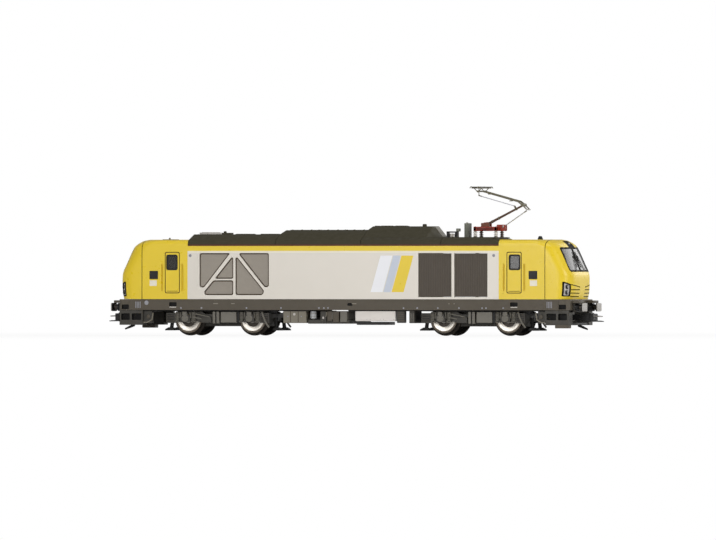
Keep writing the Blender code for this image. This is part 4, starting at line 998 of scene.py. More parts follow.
def build_main_switch():
    """Switch on three ribbed posts, with a voltage transformer's head beside it."""
    box = BOX["main_switch"]
    wide, deep, high = box.x1 - box.x0, box.y1 - box.y0, box.z1 - DECK_TOP
    part = Part().at(x=box.x0, y=box.y0, z=DECK_TOP)
    part.box((0.1, wide - 0.1), (0.2, deep - 0.4), (high - 0.75, high - 0.15), "black", 0.15)
    part.box((0.1, 1.1), (0.3, 2.2), (0, high - 0.6), "black")
    part.box((wide - 1.0, wide - 0.2), (deep - 3.4, deep - 1.4), (0, high - 0.6), "black")
    rib = ((0.55, 0.12), (0.95, 0.25), (0.9, 0.38), (0.55, 0.5))
    ribs = [(radius, z + 0.5 * k) for k in range(3) for radius, z in rib]
    for y in (2.9, 5.0, deep - 1.1):
        part.turned([(0.5, 0.0), *ribs, (0.5, 1.75)], (wide / 2, y, 0), "Z", "porcelain", 16)
    part.box((wide - 0.9, wide + 0.6), (deep - 2.2, deep + 0.3), (high - 0.2, high + 1.2),
             "transformer", 0.2)
    part.bar((wide - 0.2, deep - 1.0, 0), (wide - 0.2, deep - 1.0, high), "tank", 0.3)
    part.done("main_switch_group", "light_grey", "main_switch")


def build_transformer():
    """Ribbed block with a small cap."""
    box = BOX["transformer_box"]
    part = Part().box(*box.ranges[:2], (DECK_TOP, box.z1), "transformer", 0.25)
    for y in (-1.6, -0.55, 0.55, 1.6):
        part.box(box.ranges[0], around(y, 0.2), (DECK_TOP, box.z1 + 0.02), "transformer", 0.08)
    for side in BOTH:
        for k in range(3):
            part.at(1, side).box(around(box.x0 + 0.45 + 0.65 * k, 0.16),
                                 (box.y1 - 0.1, box.y1 + 0.12), (DECK_TOP + 0.5, box.z1 - 0.4),
                                 "transformer", 0.06)
    part.at().turned([(0.5, 0.0), (0.5, 0.35), (0.3, 0.45)], (box.x, box.y0 + 1.0, box.z1), "Z",
                     "pale_grey", 14)
    part.done("voltage_transformer", "tank_grey", "transformer_box")


def build_horn_and_aerial():
    """The horn is on cab 2 only and the aerial in its place on cab 1."""
    box = BOX["cab_roof_horn"]
    radius = box.x1 - box.x
    part = Part().turned([(radius, -0.28), (radius, 0.15), (1.0, 0.4), (0.95, 0.9),
                          (0.6, box.z1 - box.z0)], (box.x, 0, box.z0), "Z", "black", 20)
    part.done("cab_horn", "black_plastic", "cab_roof_horn")
    part = Part().at(x=-box.x, z=ROOF).box((-4.0, 3.0), (-1.5, 1.5), (-0.05, 0.22), "tank", 0.1)
    part.turned([(0.45, 0.1), (0.45, 0.6), (0.2, 0.95)], (-1.0, 0, 0), "Z", "tank", 12)
    part.done("cab_aerial", "black_plastic")


# ---- frame and ends -----------------------------------------------------------------
FRAME = BOX["chassis_frame"]
SILL_HALF = FRAME.y1
PILOT_HALF = BOX["pilot_2"].y1
# cabinet under the frame before bogie 2: along, across, heights
CABINET = ((31.7, 34.3), (-15.7, -5.6), (4.7, SILL_BOTTOM - 0.2))
# dark strips that close the gap above what hangs on the frame, painted shade where the gap is
MIDDLE_SHADE_STRIPS = ((-29.5, -16.9), (2.2, 29.5))
END_SHADE_STRIPS = ((36.0, 91.0), (93.9, 103.9))
STEP_HOLE = (CAB_WALL + 5.3, CAB_WALL + 8.9)
# bolt heads along the sill, by their radius
SILL_DOTS = {0.42: (-78.9, -68.9, -30.1, 36.1, 56.3, 77.7),
             0.4: (-46.9, -11.6, -9.2, -7.2, 29.5, 46.1, 67.5, 69.4)}
# blank plates on the sill; columns: place along X, width
SILL_PLATES = ((-62.0, 2.4), (-53.5, 1.8), (51.5, 0.5), (54.0, 0.5), (5.5, 2.2))
COVERS = ((-74.3, 35.6), (73.2, 35.6))          # round covers in the silver field


def build_sill():
    """Frame with the deep sill, its pockets and step holes, a pivot over each bogie, and dark strips
    as painted shade in the gap below it.
    """
    part = Part().box(FRAME.ranges[0], FRAME.ranges[1], (SILL_BOTTOM, SILL_TOP + 0.12), "sill", 0.1)
    cutters = [Part().box((FRAME.x0 - 1, FRAME.x1 + 1), (-SILL_HALF + 1.5, SILL_HALF - 1.5),
                          (SILL_BOTTOM - PAST, SILL_TOP - 1.2), "sill", 0)]
    hole = rectangle(STEP_HOLE, (SILL_TOP - 3.2, SILL_TOP - 1.3), 0.35)
    oval = rectangle((2.2, 4.8), (SILL_TOP - 2.9, SILL_TOP - 1.6), 0.6)
    for side in BOTH:
        cutters += [Part(end, side).prism(hole, (SILL_HALF - 0.8, SILL_HALF + PAST), "Y", "rubber")
                    for end in BOTH]
        cutters.append(Part(1, side).prism(oval, (SILL_HALF - 0.6, SILL_HALF + PAST), "Y",
                                           "rubber"))
    part.cut(*cutters)
    for end in BOTH:
        part.at(end).turned([(1.6, -3.0), (1.6, 0.5)], (sum(WHEELS[2]) / 2, 0, SILL_TOP - 1.1),
                            "Z", "sill", 20)
        for side in BOTH:
            part.at(end, side).box((STEP_HOLE[0] + 0.2, STEP_HOLE[1] - 0.1),
                                   (SILL_HALF - 0.7, SILL_HALF + 0.06),
                                   (SILL_TOP - 3.75, SILL_TOP - 3.3), "pale_grey", 0.08)
    # dark strips inside the sill, painted shade in the gap above the bogies and underfloor
    for end, side in CORNERS:
        for x in END_SHADE_STRIPS + (MIDDLE_SHADE_STRIPS if end > 0 else ()):
            part.at(end, side).box(x, (13.75, 15.7), (SILL_BOTTOM - 0.55, SILL_TOP - 1), "rubber",
                                   0)
    part.done("frame_sill", "dark_grey", "chassis_frame")


def build_sill_fittings():
    """Bolts, jacking brackets and blank plates on both sills, covers in the silver field."""
    part = Part()
    for side in BOTH:
        part.at(1, side)
        for x, z in COVERS:
            part.turned([(0.7, HALF - 0.2), (0.7, HALF), (0.55, HALF + 0.02)], (x, 0, z), "Y",
                        "cover_grey", 18)
        for radius, places in SILL_DOTS.items():
            for x in places:
                part.turned([(radius, -0.1), (radius, 0.04), (radius * 0.7, 0.09)],
                            (x, SILL_HALF, SILL_TOP - 3.9), "Y", "mark_grey", 14)
        for x, width in SILL_PLATES:
            part.box(around(x, width / 2), (SILL_HALF - 0.1, SILL_HALF + 0.05),
                     around(SILL_TOP - 1.9, 0.22), "tank", 0.04)
        for end, look in ((-1, "mark_grey"), (1, "sill")):
            part.at(end).turned([(1.0, -0.1), (1.0, side * 0.06), (0.85, side * 0.09)],
                                (CAB_WALL + 20.0, side * SILL_HALF, SILL_TOP - 1.5), "Y", look,
                                20)
    part.done("sill_fittings", "dark_grey")


def build_beam(end, number):
    """End of the frame: pockets, plates, buffer mounts, hoses and draw hook."""
    half, corner, top = BOX["buffer_beam_2"].y1, 1.4, SILL_TOP
    x0, x1 = FRAME.x1, BOX["nose_shell_2"].x1 - 0.55
    outline = [(x0 + 0.02, -half), (x1 - corner, -half), (x1, -half + corner),
               (x1, half - corner), (x1 - corner, half), (x0 + 0.02, half)]
    beam = Part(end).prism(outline, (SILL_BOTTOM, top + 0.1), "Z", "sill", 0.1)
    pocket = rectangle((x0 + 0.3, x1 - corner - 0.2), (top - 4.5, top - 2.3), 0.3)
    beam.cut(*[Part(end, side).prism(pocket, (half - 1.0, half + PAST), "Y", "rubber")
               for side in BOTH])
    for side in BOTH:
        beam.at(end, side).box((x1 - 1.0, SPAN - 1.6), around(BOX["buffer_2_left"].y, 3.4),
                               (top - 1.6, top - 0.4), "sill", 0.2)
        for k in range(4):
            x = x0 - 5.5 + 0.72 * k
            beam.box((x, x + 0.35), (SILL_HALF - 0.05, SILL_HALF + 0.1), (top - 3.9, top - 1.0),
                     "mark_grey", 0.06)
        for y in (4.2, 5.6):
            beam.tube([(x1, y, top - 2.6), (x1 + 1.0, y, top - 2.9), (x1 + 1.5, y, top - 4.2),
                       (x1 + 1.4, y - 0.1, top - 5.3)], 0.32, "rubber", 8)
            beam.turned([(0.5, 0), (0.5, 0.5), (0.35, 0.7)], (x1 - 0.1, y, top - 2.6), "X",
                        "sill", 12)
    # columns: along, below the sill's top, radius
    hook = ((0.0, 2.9, 0.6), (1.6, 2.9, 0.5), (2.2, 2.2, 0.4), (2.9, 2.6, 0.35), (2.8, 3.5, 0.25))
    beam.at(end).tube([(x1 + x, 0, top - z) for x, z, radius in hook],
                      [radius for x, z, radius in hook], "bogie", 8)
    beam.done(f"frame_end_{number}", "dark_grey", f"buffer_beam_{number}")


def build_buffer(end, name):
    """Flange, tapered housing, plunger and a rectangular head with a pale face."""
    box, base = BOX[name], SPAN - 4.9
    part = Part().at(end, 1, y=box.y, z=box.z)
    part.prism(rectangle((-2.3, 2.3), (-2.2, 2.2), 0.6), (base - 0.1, base + 0.6), "X", "bogie",
               0.1)
    housing = [(2.0, base + 0.3), (1.95, base + 0.9), (1.75, SPAN - 3.2), (1.85, SPAN - 3.0),
               (1.85, SPAN - 2.6), (1.5, SPAN - 2.5)]
    part.turned(housing, (0, 0, 0), "X", "black")
    part.turned([(1.3, SPAN - 3.0), (1.3, SPAN - 0.5)], (0, 0, 0), "X", "rim_dark", 20)
    head = rectangle((-3.15, 3.15), (-1.9, 1.9), 0.7)
    part.prism(head, (SPAN - 0.8, SPAN - 0.4), "X", "black", 0.1)
    part.prism(inset(head, 0.05), (SPAN - 0.45, SPAN), "X", "buffer_face", 0.12)
    for y, z in rectangle((-1.7, 1.7), (-1.6, 1.6)):
        part.turned([(0.25, 0), (0.25, 0.25), (0.15, 0.3)], (base + 0.6, y, z), "X", "sill", 8)
    part.done(name + "_detail", "black_plastic", name)


def build_pilot(end, number):
    """Step boxes with open treads, plough plate and brackets below the beam."""
    half, start, stop = PILOT_HALF, SPAN - 17.0, SPAN - 5.6
    low, top = 3.8, SILL_BOTTOM - 0.05
    part = Part()
    for side in BOTH:
        shell = Part(end, side).box((start, stop), (half - 5.4, half), (low, top), "bogie", 0.15)
        holes = [rectangle(x, (low + 2.3, top - 1.5), 0.4)
                 for x in ((start + 0.7, start + 5.3), (start + 6.3, stop - 0.9))]
        shell.cut(*[Part(end, side).prism(hole, (half - 1.6, half + 1), "Y", "rubber")
                    for hole in holes])
        part.add(shell).at(end, side)
        if side == -end:
            part.box((SPAN - 12.3, SPAN - 5.9), (half - 4.4, half - 0.02), (2.45, 4.2), "sill", 0.2)
            for k in range(7):
                x = SPAN - 12.0 + 0.87 * k
                part.box((x, x + 0.35), (half - 4.3, half - 0.3), (2.4, 2.55), "bogie", 0.04)
        part.box((start - 4.0, start + 1), (half - 3.9, half - 1.5), (4.6, top), "bogie", 0.15)
        part.turned([(0.9, half - 1.6), (0.9, half - 1.2), (0.6, half - 1.1)],
                    (start - 2.4, 0, 7.6), "Y", "sill", 16)
        # columns: along, in from the side, height
        pipe = ((-4.8, 1.0, 9.4), (-4.2, 0.9, 6.2), (-2.0, 0.8, 5.0), (0.2, 0.8, 5.0))
        part.tube([(start + x, half - y, z) for x, y, z in pipe], 0.28, "tank", 8)
    part.at(end).box((start, stop), (-half + 1, half - 1), (top - 0.8, top), "bogie", 0.1)
    part.box((stop - 1.5, stop - 0.3), (-half + 1, half - 1), (low, 4.9), "black", 0.2)
    part.turned([(0.9, 5.8), (0.9, top - 0.2)], (SPAN - 9.5, 0, 0), "Z", "steel", 16)
    part.done(f"pilot_steps_{number}", "bogie_grey", f"pilot_{number}")


def build_coupler(end, number):
    """Coupler with its loop, hook and bent trip arm, on a drawbar with an eye."""
    low, high, pin = 5.8, 9.0, SPAN - 9.5
    bar = rectangle((pin - 1.75, SPAN - 3.9), (-1.9, 1.9), 1.0)
    part = Part(end).prism(bar, (low + 0.2, high - 0.2), "Z", "black", 0.12)
    part.cut(Part(end).turned([(1.2, low - 1), (1.2, high + 1)], (pin, 0, 0), "Z", "black", 20))
    part.at(end, x=end * SPAN, z=low)
    part.box((-4.2, 0.2), (-2.6, 2.6), (-0.5, high - low + 0.5), "black", 0.3)
    part.box((-0.4, 1.6), (-3.3, 3.3), (-0.1, high - low + 0.1), "black", 0.35)
    for y in (-2.9, 2.9):
        part.tube([(1.0, y, 2.2), (2.6, y, 2.1), (3.9, y * 0.92, 2.0)], 0.24, "steel", 8)
    part.bar((3.9, -2.75, 2.0), (3.9, 2.75, 2.0), "steel", 0.24)
    part.prism([(1.0, 0.2), (4.2, 0.1), (5.5, -0.15), (5.2, -0.45), (1.0, -0.4)], (-0.9, 0.9),
               "Y", "black", 0.08)
    part.tube([(-6.6, 0, 0.2), (-6.4, 0, -2.2), (-4.6, 0, -2.9), (-2.2, 0, -3.9)],
              [0.8, 0.75, 0.6, 0.35], "black", 8)
    name = f"coupler_{number}"
    part.done(f"coupler_detail_{number}", "black_plastic", name, body=name)


# ---- running gear -------------------------------------------------------------------
WHEEL_INNER = 7.0
TREAD = AXLE_Z                  # radius of the tread; the wheels stand on the rail top
FLANGE = AXLE_Z + RAIL_TOP
BOGIE_TOP = AXLE_Z + 3.68
FRAME_INNER, FRAME_OUTER = 11.2, 14.3           # side frame, from the middle
GUARD_X = 26.3
GUARD_Y = 5.2
CASE_END = 22.0
HALF_BASE = (WHEELS[2][1] - WHEELS[2][0]) / 2
SPRING_OFFSET = 3.9             # springs stand this far each side of an axle
SPRING_TURNS = 7
# columns: look, then the profile as (radius, distance from the middle); the black inner face and the
# dark flange, tread and tread corner are painted shade, though the real tread is bright
WHEEL_PROFILES = (
    ("black", (2.0, 7.2), (FLANGE - 1.3, 7.0), (FLANGE - 1.25, 7.3)),
    ("rim_dark", (FLANGE - 1.3, 7.05), (FLANGE - 0.25, 7.0), (FLANGE, 7.15),
     (FLANGE - 0.05, 7.4), (FLANGE - 0.4, 7.7), (TREAD + 0.25, 7.95), (TREAD + 0.06, 8.3),
     (TREAD, 9.6), (TREAD - 0.02, 9.62)),
    ("tyre", (TREAD - 0.01, 9.4), (TREAD - 0.03, 9.68), (TREAD - 0.15, 9.88),
     (TREAD - 0.35, 9.97), (TREAD - 0.75, 9.99), (TREAD - 0.85, 9.85), (TREAD - 0.9, 9.5)),
    ("nickel", (5.44, 9.3), (5.42, 9.84), (5.25, 9.98), (4.5, 9.96), (3.6, 9.7), (3.3, 9.6),
     (3.2, 9.2)),
    ("nickel", (3.3, 9.1), (3.28, 9.42), (2.7, 9.36), (1.9, 9.4), (1.75, 9.5), (1.7, 9.1)),
    ("steel", (1.7, 9.1), (1.66, 10.05), (1.45, 10.22), (0.55, 10.25), (0.45, 10.05)),
)
# columns: along the bogie, height, look, how far it stands out of the frame; the black plates are
# painted shade in the gaps between parts, and the lighter grey ones carry a painted highlight
SIDE_PLATES = (
    ((1.9, 9.4), (4.9, 9.8), "panel_grey", 0.6),
    ((-2.1, -0.8), (4.5, 9.9), "bogie_light", 0.75),
    ((-0.2, 1.1), (4.5, 9.9), "bogie_light", 0.75),
    ((-0.8, -0.2), (4.7, 9.6), "black", 0.2),
    ((-7.6, -2.7), (4.8, 7.4), "bogie", 0.55),
    ((9.6, 10.6), (4.9, 9.9), "black", 0.1),
    ((14.5, 16.7), (8.3, 9.9), "bogie_light", 0.6),
    ((-17.0, -14.8), (8.3, 9.9), "bogie_light", 0.6),
)


def build_wheelset(number, axle):
    """Axle with both wheels: tyre with its flange, bright wheel face, hub; the inner face, flange and
    tread are painted dark as shade.
    """
    name = f"wheelset_{number}_{axle}"
    part, place = Part(), {"x": WHEELS[number][axle - 1], "z": AXLE_Z}
    part.at(**place).turned([(1.2, -WHEEL_INNER - 1), (1.2, WHEEL_INNER + 1)], (0, 0, 0), "Y",
                            "black", 20)
    part.turned([(3.4, -1.6), (3.6, -1.4), (3.6, 1.4), (3.4, 1.6)], (0, 0, 0), "Y", "black", 30)
    for side in BOTH:
        part.at(1, side, **place)
        for look, *profile in WHEEL_PROFILES:
            part.turned(profile, (0, 0, 0), "Y", look, 48)
        for a, b in on_circle(2.5, 6, 0.5):
            part.turned([(0.35, 9.2), (0.35, 9.46), (0.2, 9.5)], (a, 0, b), "Y", "sill", 10)
    part.done(name + "_detail", "nickel", name, body=name)


def build_gear_case(number):
    """Gear case between the wheels with its cover, cross arms and rail guards."""
    x, z = sum(WHEELS[number]) / 2, AXLE_Z
    low, top, reach = z - 3.1, z + 6.1, FRAME_INNER - 0.3
    part = Part().at(x=x).box((-CASE_END, CASE_END), (-6.3, 6.3), (low, top), "bogie", 0.35)
    part.cut(*[Part().box(around(axle, 1.8), (-7, 7), (0, z + 1.8), "rubber", 0)
               for axle in WHEELS[number]])
    part.turned([(4.5, top - 0.5), (4.5, top + 1.4), (4.3, top + 1.55)], (0, 0, 0), "Z", "bogie",
                32)
    for along_x in ((-21, -18), (-13, 13), (18, 21)):
        part.box(along_x, (-5.2, 5.2), (low - 0.02, low + 0.4), "sill", 0.15)
    for a in (-12, 0, 12):
        for b in (-4.2, 4.2):
            part.turned([(0.6, 0.1), (0.6, 0.0), (0.45, -0.01)], (a, b, low - 0.02), "Z", "steel",
                        14)
    part.box((-3, 3), (-reach, reach), (z - 0.8, z + 4.2), "bogie", 0.3)
    # columns: along and height of the points of a guard's foot
    foot = ((-2.3, 1.25), (2.3, 1.25), (2.2, 1.9), (0.6, 2.7), (-1.6, 2.6), (-2.3, 1.9))
    for end in BOTH:
        part.at(end, 1, x)
        for along_x, half in (((GUARD_X - 2.8, GUARD_X - 1.3), reach),
                              ((CASE_END - 1, GUARD_X - 2.0), 3)):
            part.box(along_x, (-half, half), (z - 0.8, z + 2.7), "bogie", 0.25)
        for side in BOTH:
            part.at(end, side, x)
            part.tube([(GUARD_X - 1.0, GUARD_Y, z + 0.8), (GUARD_X - 0.9, GUARD_Y, 4.6),
                       (GUARD_X - 0.5, GUARD_Y, 1.9)], [1.0, 0.9, 0.95], "black", 8)
            part.prism([(GUARD_X + a, b) for a, b in foot], around(GUARD_Y, 1.1), "Y", "black",
                       0.12)
    part.done(f"gear_case_{number}", "bogie_grey", f"bogie_frame_{number}", body=f"bogie_{number}")


def spring(part, x, y, low, high, radius, wire, look):
    """An upright coil spring around a point, wound the same way on both sides."""
    circle = [(x + a, y + part.signs[1] * b) for a, b in on_circle(radius, 10)]
    count = len(circle) * SPRING_TURNS
    coil = [(*circle[i % len(circle)], low + (high - low) * i / count) for i in range(count + 1)]
    part.tube(coil, wire, look, 6)


def build_axle_end(part, side, middle):
    """Springs, axle box with its bolted cover, and levers of the axle at middle."""
    outer, z, top = FRAME_OUTER, AXLE_Z, BOGIE_TOP
    proud = outer + 0.75
    part.at(1, side, middle)
    for x in (-SPRING_OFFSET, SPRING_OFFSET):
        # a black core in each spring, painted shade between its turns
        part.turned([(0.85, z - 0.9), (0.85, top - 0.3)], (x, outer - 0.6, 0), "Z", "black", 14)
        spring(part, x, outer - 0.6, z - 0.8, top - 0.4, 1.0, 0.24, "bogie_light")
        part.box(around(x, 1.2), (outer - 1.4, outer), (z - 1.3, z - 0.8), "bogie_light", 0.15)
    box = [(-2.2, z - 1.2), (2.2, z - 1.2), (2.5, z + 0.4), (1.4, z + 2.9), (-1.4, z + 2.9),
           (-2.5, z + 0.4)]
    part.prism(rounded(box, 0.5), (FRAME_INNER, proud - 0.25), "Y", "bogie", 0.15)
    part.turned([(1.6, outer - 0.2), (1.6, proud - 0.05), (1.35, proud), (0.8, proud),
                 (0.7, proud - 0.15)], (0, 0, z + 0.5), "Y", "bogie_light")
    for k in BOTH:
        part.bar((k * 2.3, outer - 0.1, z + 3.3), (k * 2.5, outer - 0.1, z + 0.6), "bogie_light",
                 0.3, 8)
    cover = [(a, side * proud, z + 0.5 + b) for a, b in on_circle(1.15, 6)]
    part.at(x=middle).bolts(cover, "Y", 0.17, side * 0.04, "sill")


def build_side_frame(number, side, word):
    """Side frame: arches over the axles, boxes, springs, dampers and link rods, with a painted
    highlight in lighter grey and painted shade in black plates in the gaps.
    """
    x, top, z = sum(WHEELS[number]) / 2, BOGIE_TOP, AXLE_Z
    inner, outer, stop = FRAME_INNER, FRAME_OUTER, CASE_END - 1.0
    half = [(5.8, top - 1.2), (6.8, top - 0.8), (8.0, top), (stop - 0.6, top), (stop, top - 0.6),
            (stop, z - 0.1), (13.4, z - 0.1), (11.6, z - 0.5), (6.8, z - 1.6)]
    part = Part().at(1, side, x)
    part.prism(half + [(-a, b) for a, b in reversed(half)], (inner, outer - 0.9), "Y", "bogie", 0.2)
    for along_x, heights, look, out in SIDE_PLATES:
        part.box(along_x, (outer - 1.4, outer + out), heights, look, 0.15)
    ladder = (stop - 0.4, GUARD_X - 1.2)        # bracket with steps beyond the axles
    rungs = (ladder[0] + 0.5, ladder[1] - 0.5)
    for end in BOTH:
        build_axle_end(part, side, x + end * HALF_BASE)
        part.at(end, side, x)
        part.box(ladder, (inner, outer - 0.2), (z - 1.6, z + 3.0), "bogie", 0.15)
        part.box(rungs, (outer - 1.0, outer - 0.12), (z - 1.0, z + 2.4), "black", 0.15)
        for k in range(4):
            step = z - 0.7 + 0.8 * k
            part.box(rungs, (outer - 0.9, outer - 0.02), (step, step + 0.22), "sill", 0.05)
    part.at(1, side, x)
    for low in (z - 0.6, z + 1.1):              # link rods beside the first axle
        part.bar((-12.0, outer + 0.1, low + 1.8), (-3.6, outer + 0.1, low), "bogie_light", 0.34, 8)
    part.tube([(a, outer + 0.2, z + b) for a, b in ((21.9, 3.5), (22.6, 1.2), (23.8, -1.6),
                                                    (25.4, -3.6))], 0.45, "bogie_light", 8)
    part.done(f"side_frame_{number}_{word}", "bogie_grey", f"bogie_side_{number}_{word}",
              body=f"bogie_{number}")


# ---- underfloor ---------------------------------------------------------------------
def build_tank():
    """Fuel tank with its straps, filler caps and gauges."""
    box = BOX["underfloor_tank"]
    part = Part().box(*box.ranges, "tank", 0.45)
    for side in BOTH:
        part.at(1, side, box.x0)
        for x in (3.6, 7.4):
            part.box(around(x, 0.2), (box.y1 - 0.1, box.y1 + 0.06), (box.z0 + 0.4, box.z1 - 0.1),
                     "sill", 0.06)
        part.turned([(0.6, box.y1 - 0.2), (0.6, box.y1 + 0.25), (0.4, box.y1 + 0.3)],
                    (5.5, 0, box.z1 - 1.6), "Y", "pale_grey", 16)
        for x in (2.4, 8.9):
            part.turned([(0.32, box.y1 - 0.2), (0.3, box.y1 + 0.12)], (x, 0, box.z1 - 2.6), "Y",
                        "mark_grey", 10)
    part.done("fuel_tank", "tank_grey", "underfloor_tank")


def build_air_supply():
    """Base beam with four housings of different depth, pipes and a filter bowl."""
    box = BOX["air_equipment"]
    high, y = box.z1 - box.z0 - 0.2, box.y1 - 0.2
    part = Part().at(x=box.x0, z=box.z0)
    part.box((0, box.x1 - box.x0), (box.y0 + 1, box.y1 - 1), (0, 1.9), "bogie", 0.2)
    # columns: start, width, bottom above the base, look
    housings = ((6.3, 2.9, 0.8, "bogie"), (9.6, 2.4, 1.2, "sill"), (12.4, 2.9, 0.6, "sill"),
                (15.9, 3.3, 0.8, "bogie_light"))
    for start, width, low, look in housings:
        part.box((start, start + width), (box.y0, box.y1), (low, high), look, 0.25)
    for side in BOTH:
        part.at(1, side, box.x0, 0, box.z0)
        for start, width, low, look in housings:
            part.box((start + 0.5, start + width - 0.5), (box.y1 - 0.1, box.y1 + 0.05),
                     (low + 0.8, high - 0.9), look, 0.08)
        part.tube([(9.3, y, high - 0.4), (9.2, y, 3.6), (7.6, y, 2.9), (7.2, y, 1.2)], 0.24,
                  "tank", 8)
        part.turned([(0.65, 2.2), (0.65, 3.1), (0.5, 3.3)], (7.7, box.y1 - 0.45, 0), "Z",
                    "pale_grey", 14)
        part.bar((12.2, y, high - 0.3), (12.1, y, 2.0), "bogie_light", 0.22, 8)
    part.done("air_supply", "bogie_grey", "air_equipment")


def build_canisters():
    """A banded canister on each side of a dark block."""
    box = BOX["air_canister"]
    radius, high = (box.x1 - box.x0) / 2, box.z1 - box.z0 - 0.2
    part = Part()
    for side in BOTH:
        part.at(1, side, box.x, side * (box.y1 - radius), box.z0)
        part.turned([(radius - 0.5, 0.0), (radius, 0.35), (radius, high - 0.5),
                     (radius - 0.2, high - 0.3), (radius - 0.2, high)], (0, 0, 0), "Z",
                    "canister", 28)
        for z in (0.9, high - 1.2):
            part.turned([(radius, z), (radius + 0.06, z + 0.08), (radius, z + 0.2)], (0, 0, 0),
                        "Z", "tank", 28)
        part.turned([(0.3, -2.0), (0.3, 0.2)], (0, 0, 0), "Z", "tank", 10)
    part.at().box((box.x0 + 0.3, box.x1 - 0.3), (box.y0 + 2, box.y1 - 2), (box.z0 + 0.8, box.z1),
                  "black", 0.2)
    part.done("air_canisters", "light_grey", "air_canister")


def build_cabinet():
    """Small cabinet under the frame before bogie 2."""
    (x0, x1), (face, back), (z0, z1) = CABINET
    part = Part().box(*CABINET, "bogie", 0.25)
    for k in range(3):
        part.box(around(x0 + 0.55 + 0.8 * k, 0.14), around(face, 0.1), (z0 + 0.7, z1 - 1.2),
                 "bogie_light", 0.06)
    part.box(around(x1, 0.1), (face + 1.2, face + 8.2), (z0 + 0.8, z1 - 1.0), "black", 0.08)
    part.box((x0 + 0.2, x1 - 0.2), (face + 0.6, face + 1.6), (z1 - 0.2, SILL_BOTTOM + 1.2),
             "black", 0.1)
    part.done("cabinet", "bogie_grey")


def build_battery():
    """L-shaped case with doors."""
    box = BOX["battery_box"]
    high, far_end = box.ranges[2], box.x0 + (box.x1 - box.x0) * 0.59
    part = Part().box((box.x0, box.x1), (box.y0, -4.0), high, "box_silver", 0.3)
    part.box((box.x0, far_end), (-5.0, box.y1), high, "box_silver", 0.3)
    # columns: side, end of the box on that side, number of doors
    for side, stop, count in ((-1, box.x1, 3), (1, far_end, 2)):
        width = (stop - box.x0) / count
        for k in range(count):
            start = box.x0 + width * k + 0.3
            part.at(1, side).box((start, start + width - 0.6), (box.y1 - 0.12, box.y1 + 0.05),
                                 (box.z0 + 0.45, box.z1 - 0.4), "box_silver", 0.1)
            for x in (start + 0.5, start + width - 1.1):
                part.turned([(0.16, box.y1 - 0.1), (0.14, box.y1 + 0.1)], (x, 0, box.z0 + 0.9),
                            "Y", "mark_grey", 8)
    part.done("battery_case", "light_grey", "battery_box")


def build_tray_and_filter():
    """Ribbed tray under the battery case and a slatted filter beside it."""
    box = BOX["battery_tray"]
    part = Part().box(*box.ranges, "black", 0.25)
    for k in range(5):
        part.box(around(box.x0 + 1.6 + 3.0 * k, 0.35), (box.y0 + 0.3, box.y1 - 0.3),
                 (box.z0 - 0.02, box.z0 + 0.4), "bogie", 0.1)
    part.done("battery_shelf", "black_plastic", "battery_tray")
    box = BOX["filter_box"]
    part = Part().box(*box.ranges, "bogie", 0.3)
    for k in range(5):
        z = box.z0 + 0.9 + 0.9 * k
        part.box((box.x0 + 0.4, box.x1 - 0.4), (box.y0 - 0.05, box.y0 + 0.1), (z, z + 0.35),
                 "sill", 0.08)
    part.done("filter_case", "bogie_grey", "filter_box")


# ---- pantograph ---------------------------------------------------------------------
# places (x, z) of its pivots, as in the CAD part
PAN_FOOT = (64.2, 49.9)
PAN_KNEE = (81.7, 58.7)
PAN_TAIL = (83.9, 56.6)
PAN_ROD_FOOT = (72.2, 48.9)
PAN_HEAD = (61.2, 64.9)
PAN_LINK_LOW = (77.3, 58.1)
PAN_LINK_HIGH = (60.0, 62.9)
PAN_BASE = (59.0, 70.4)
PAN_FRAME = (46.7, 48.8)
LINK_Y = 1.3
LINK_INNER = LINK_Y - 0.35
KNEE_Y, HEAD_Y = 2.0, 2.2       # the upper arm's tubes, from the middle


def pin(place, y=0.0):
    return (place[0], y, place[1])


def insulator(part, x, y, high, look):
    """Ribbed post from the deck up, with a foot and a cap."""
    part.at(x=x, y=y, z=DECK_TOP)
    high -= DECK_TOP
    pitch = (high - 0.8) / 3
    # columns: radius, share of the pitch
    rib = ((0.55, 0.0), (1.08, 0.3), (1.0, 0.5), (0.55, 0.7))
    ribs = [(radius, 0.4 + pitch * (k + share)) for k in range(3) for radius, share in rib]
    for profile, kind, facets in (([(0.9, 0.0), (0.9, 0.3), (0.55, 0.4)], "tank", 16),
                                  ([(0.5, 0.3), *ribs, (0.5, high - 0.3)], look, 20),
                                  ([(0.7, high - 0.5), (0.7, high + 0.1)], "tank", 16)):
        part.turned(profile, (0, 0, 0), "Z", kind, facets)


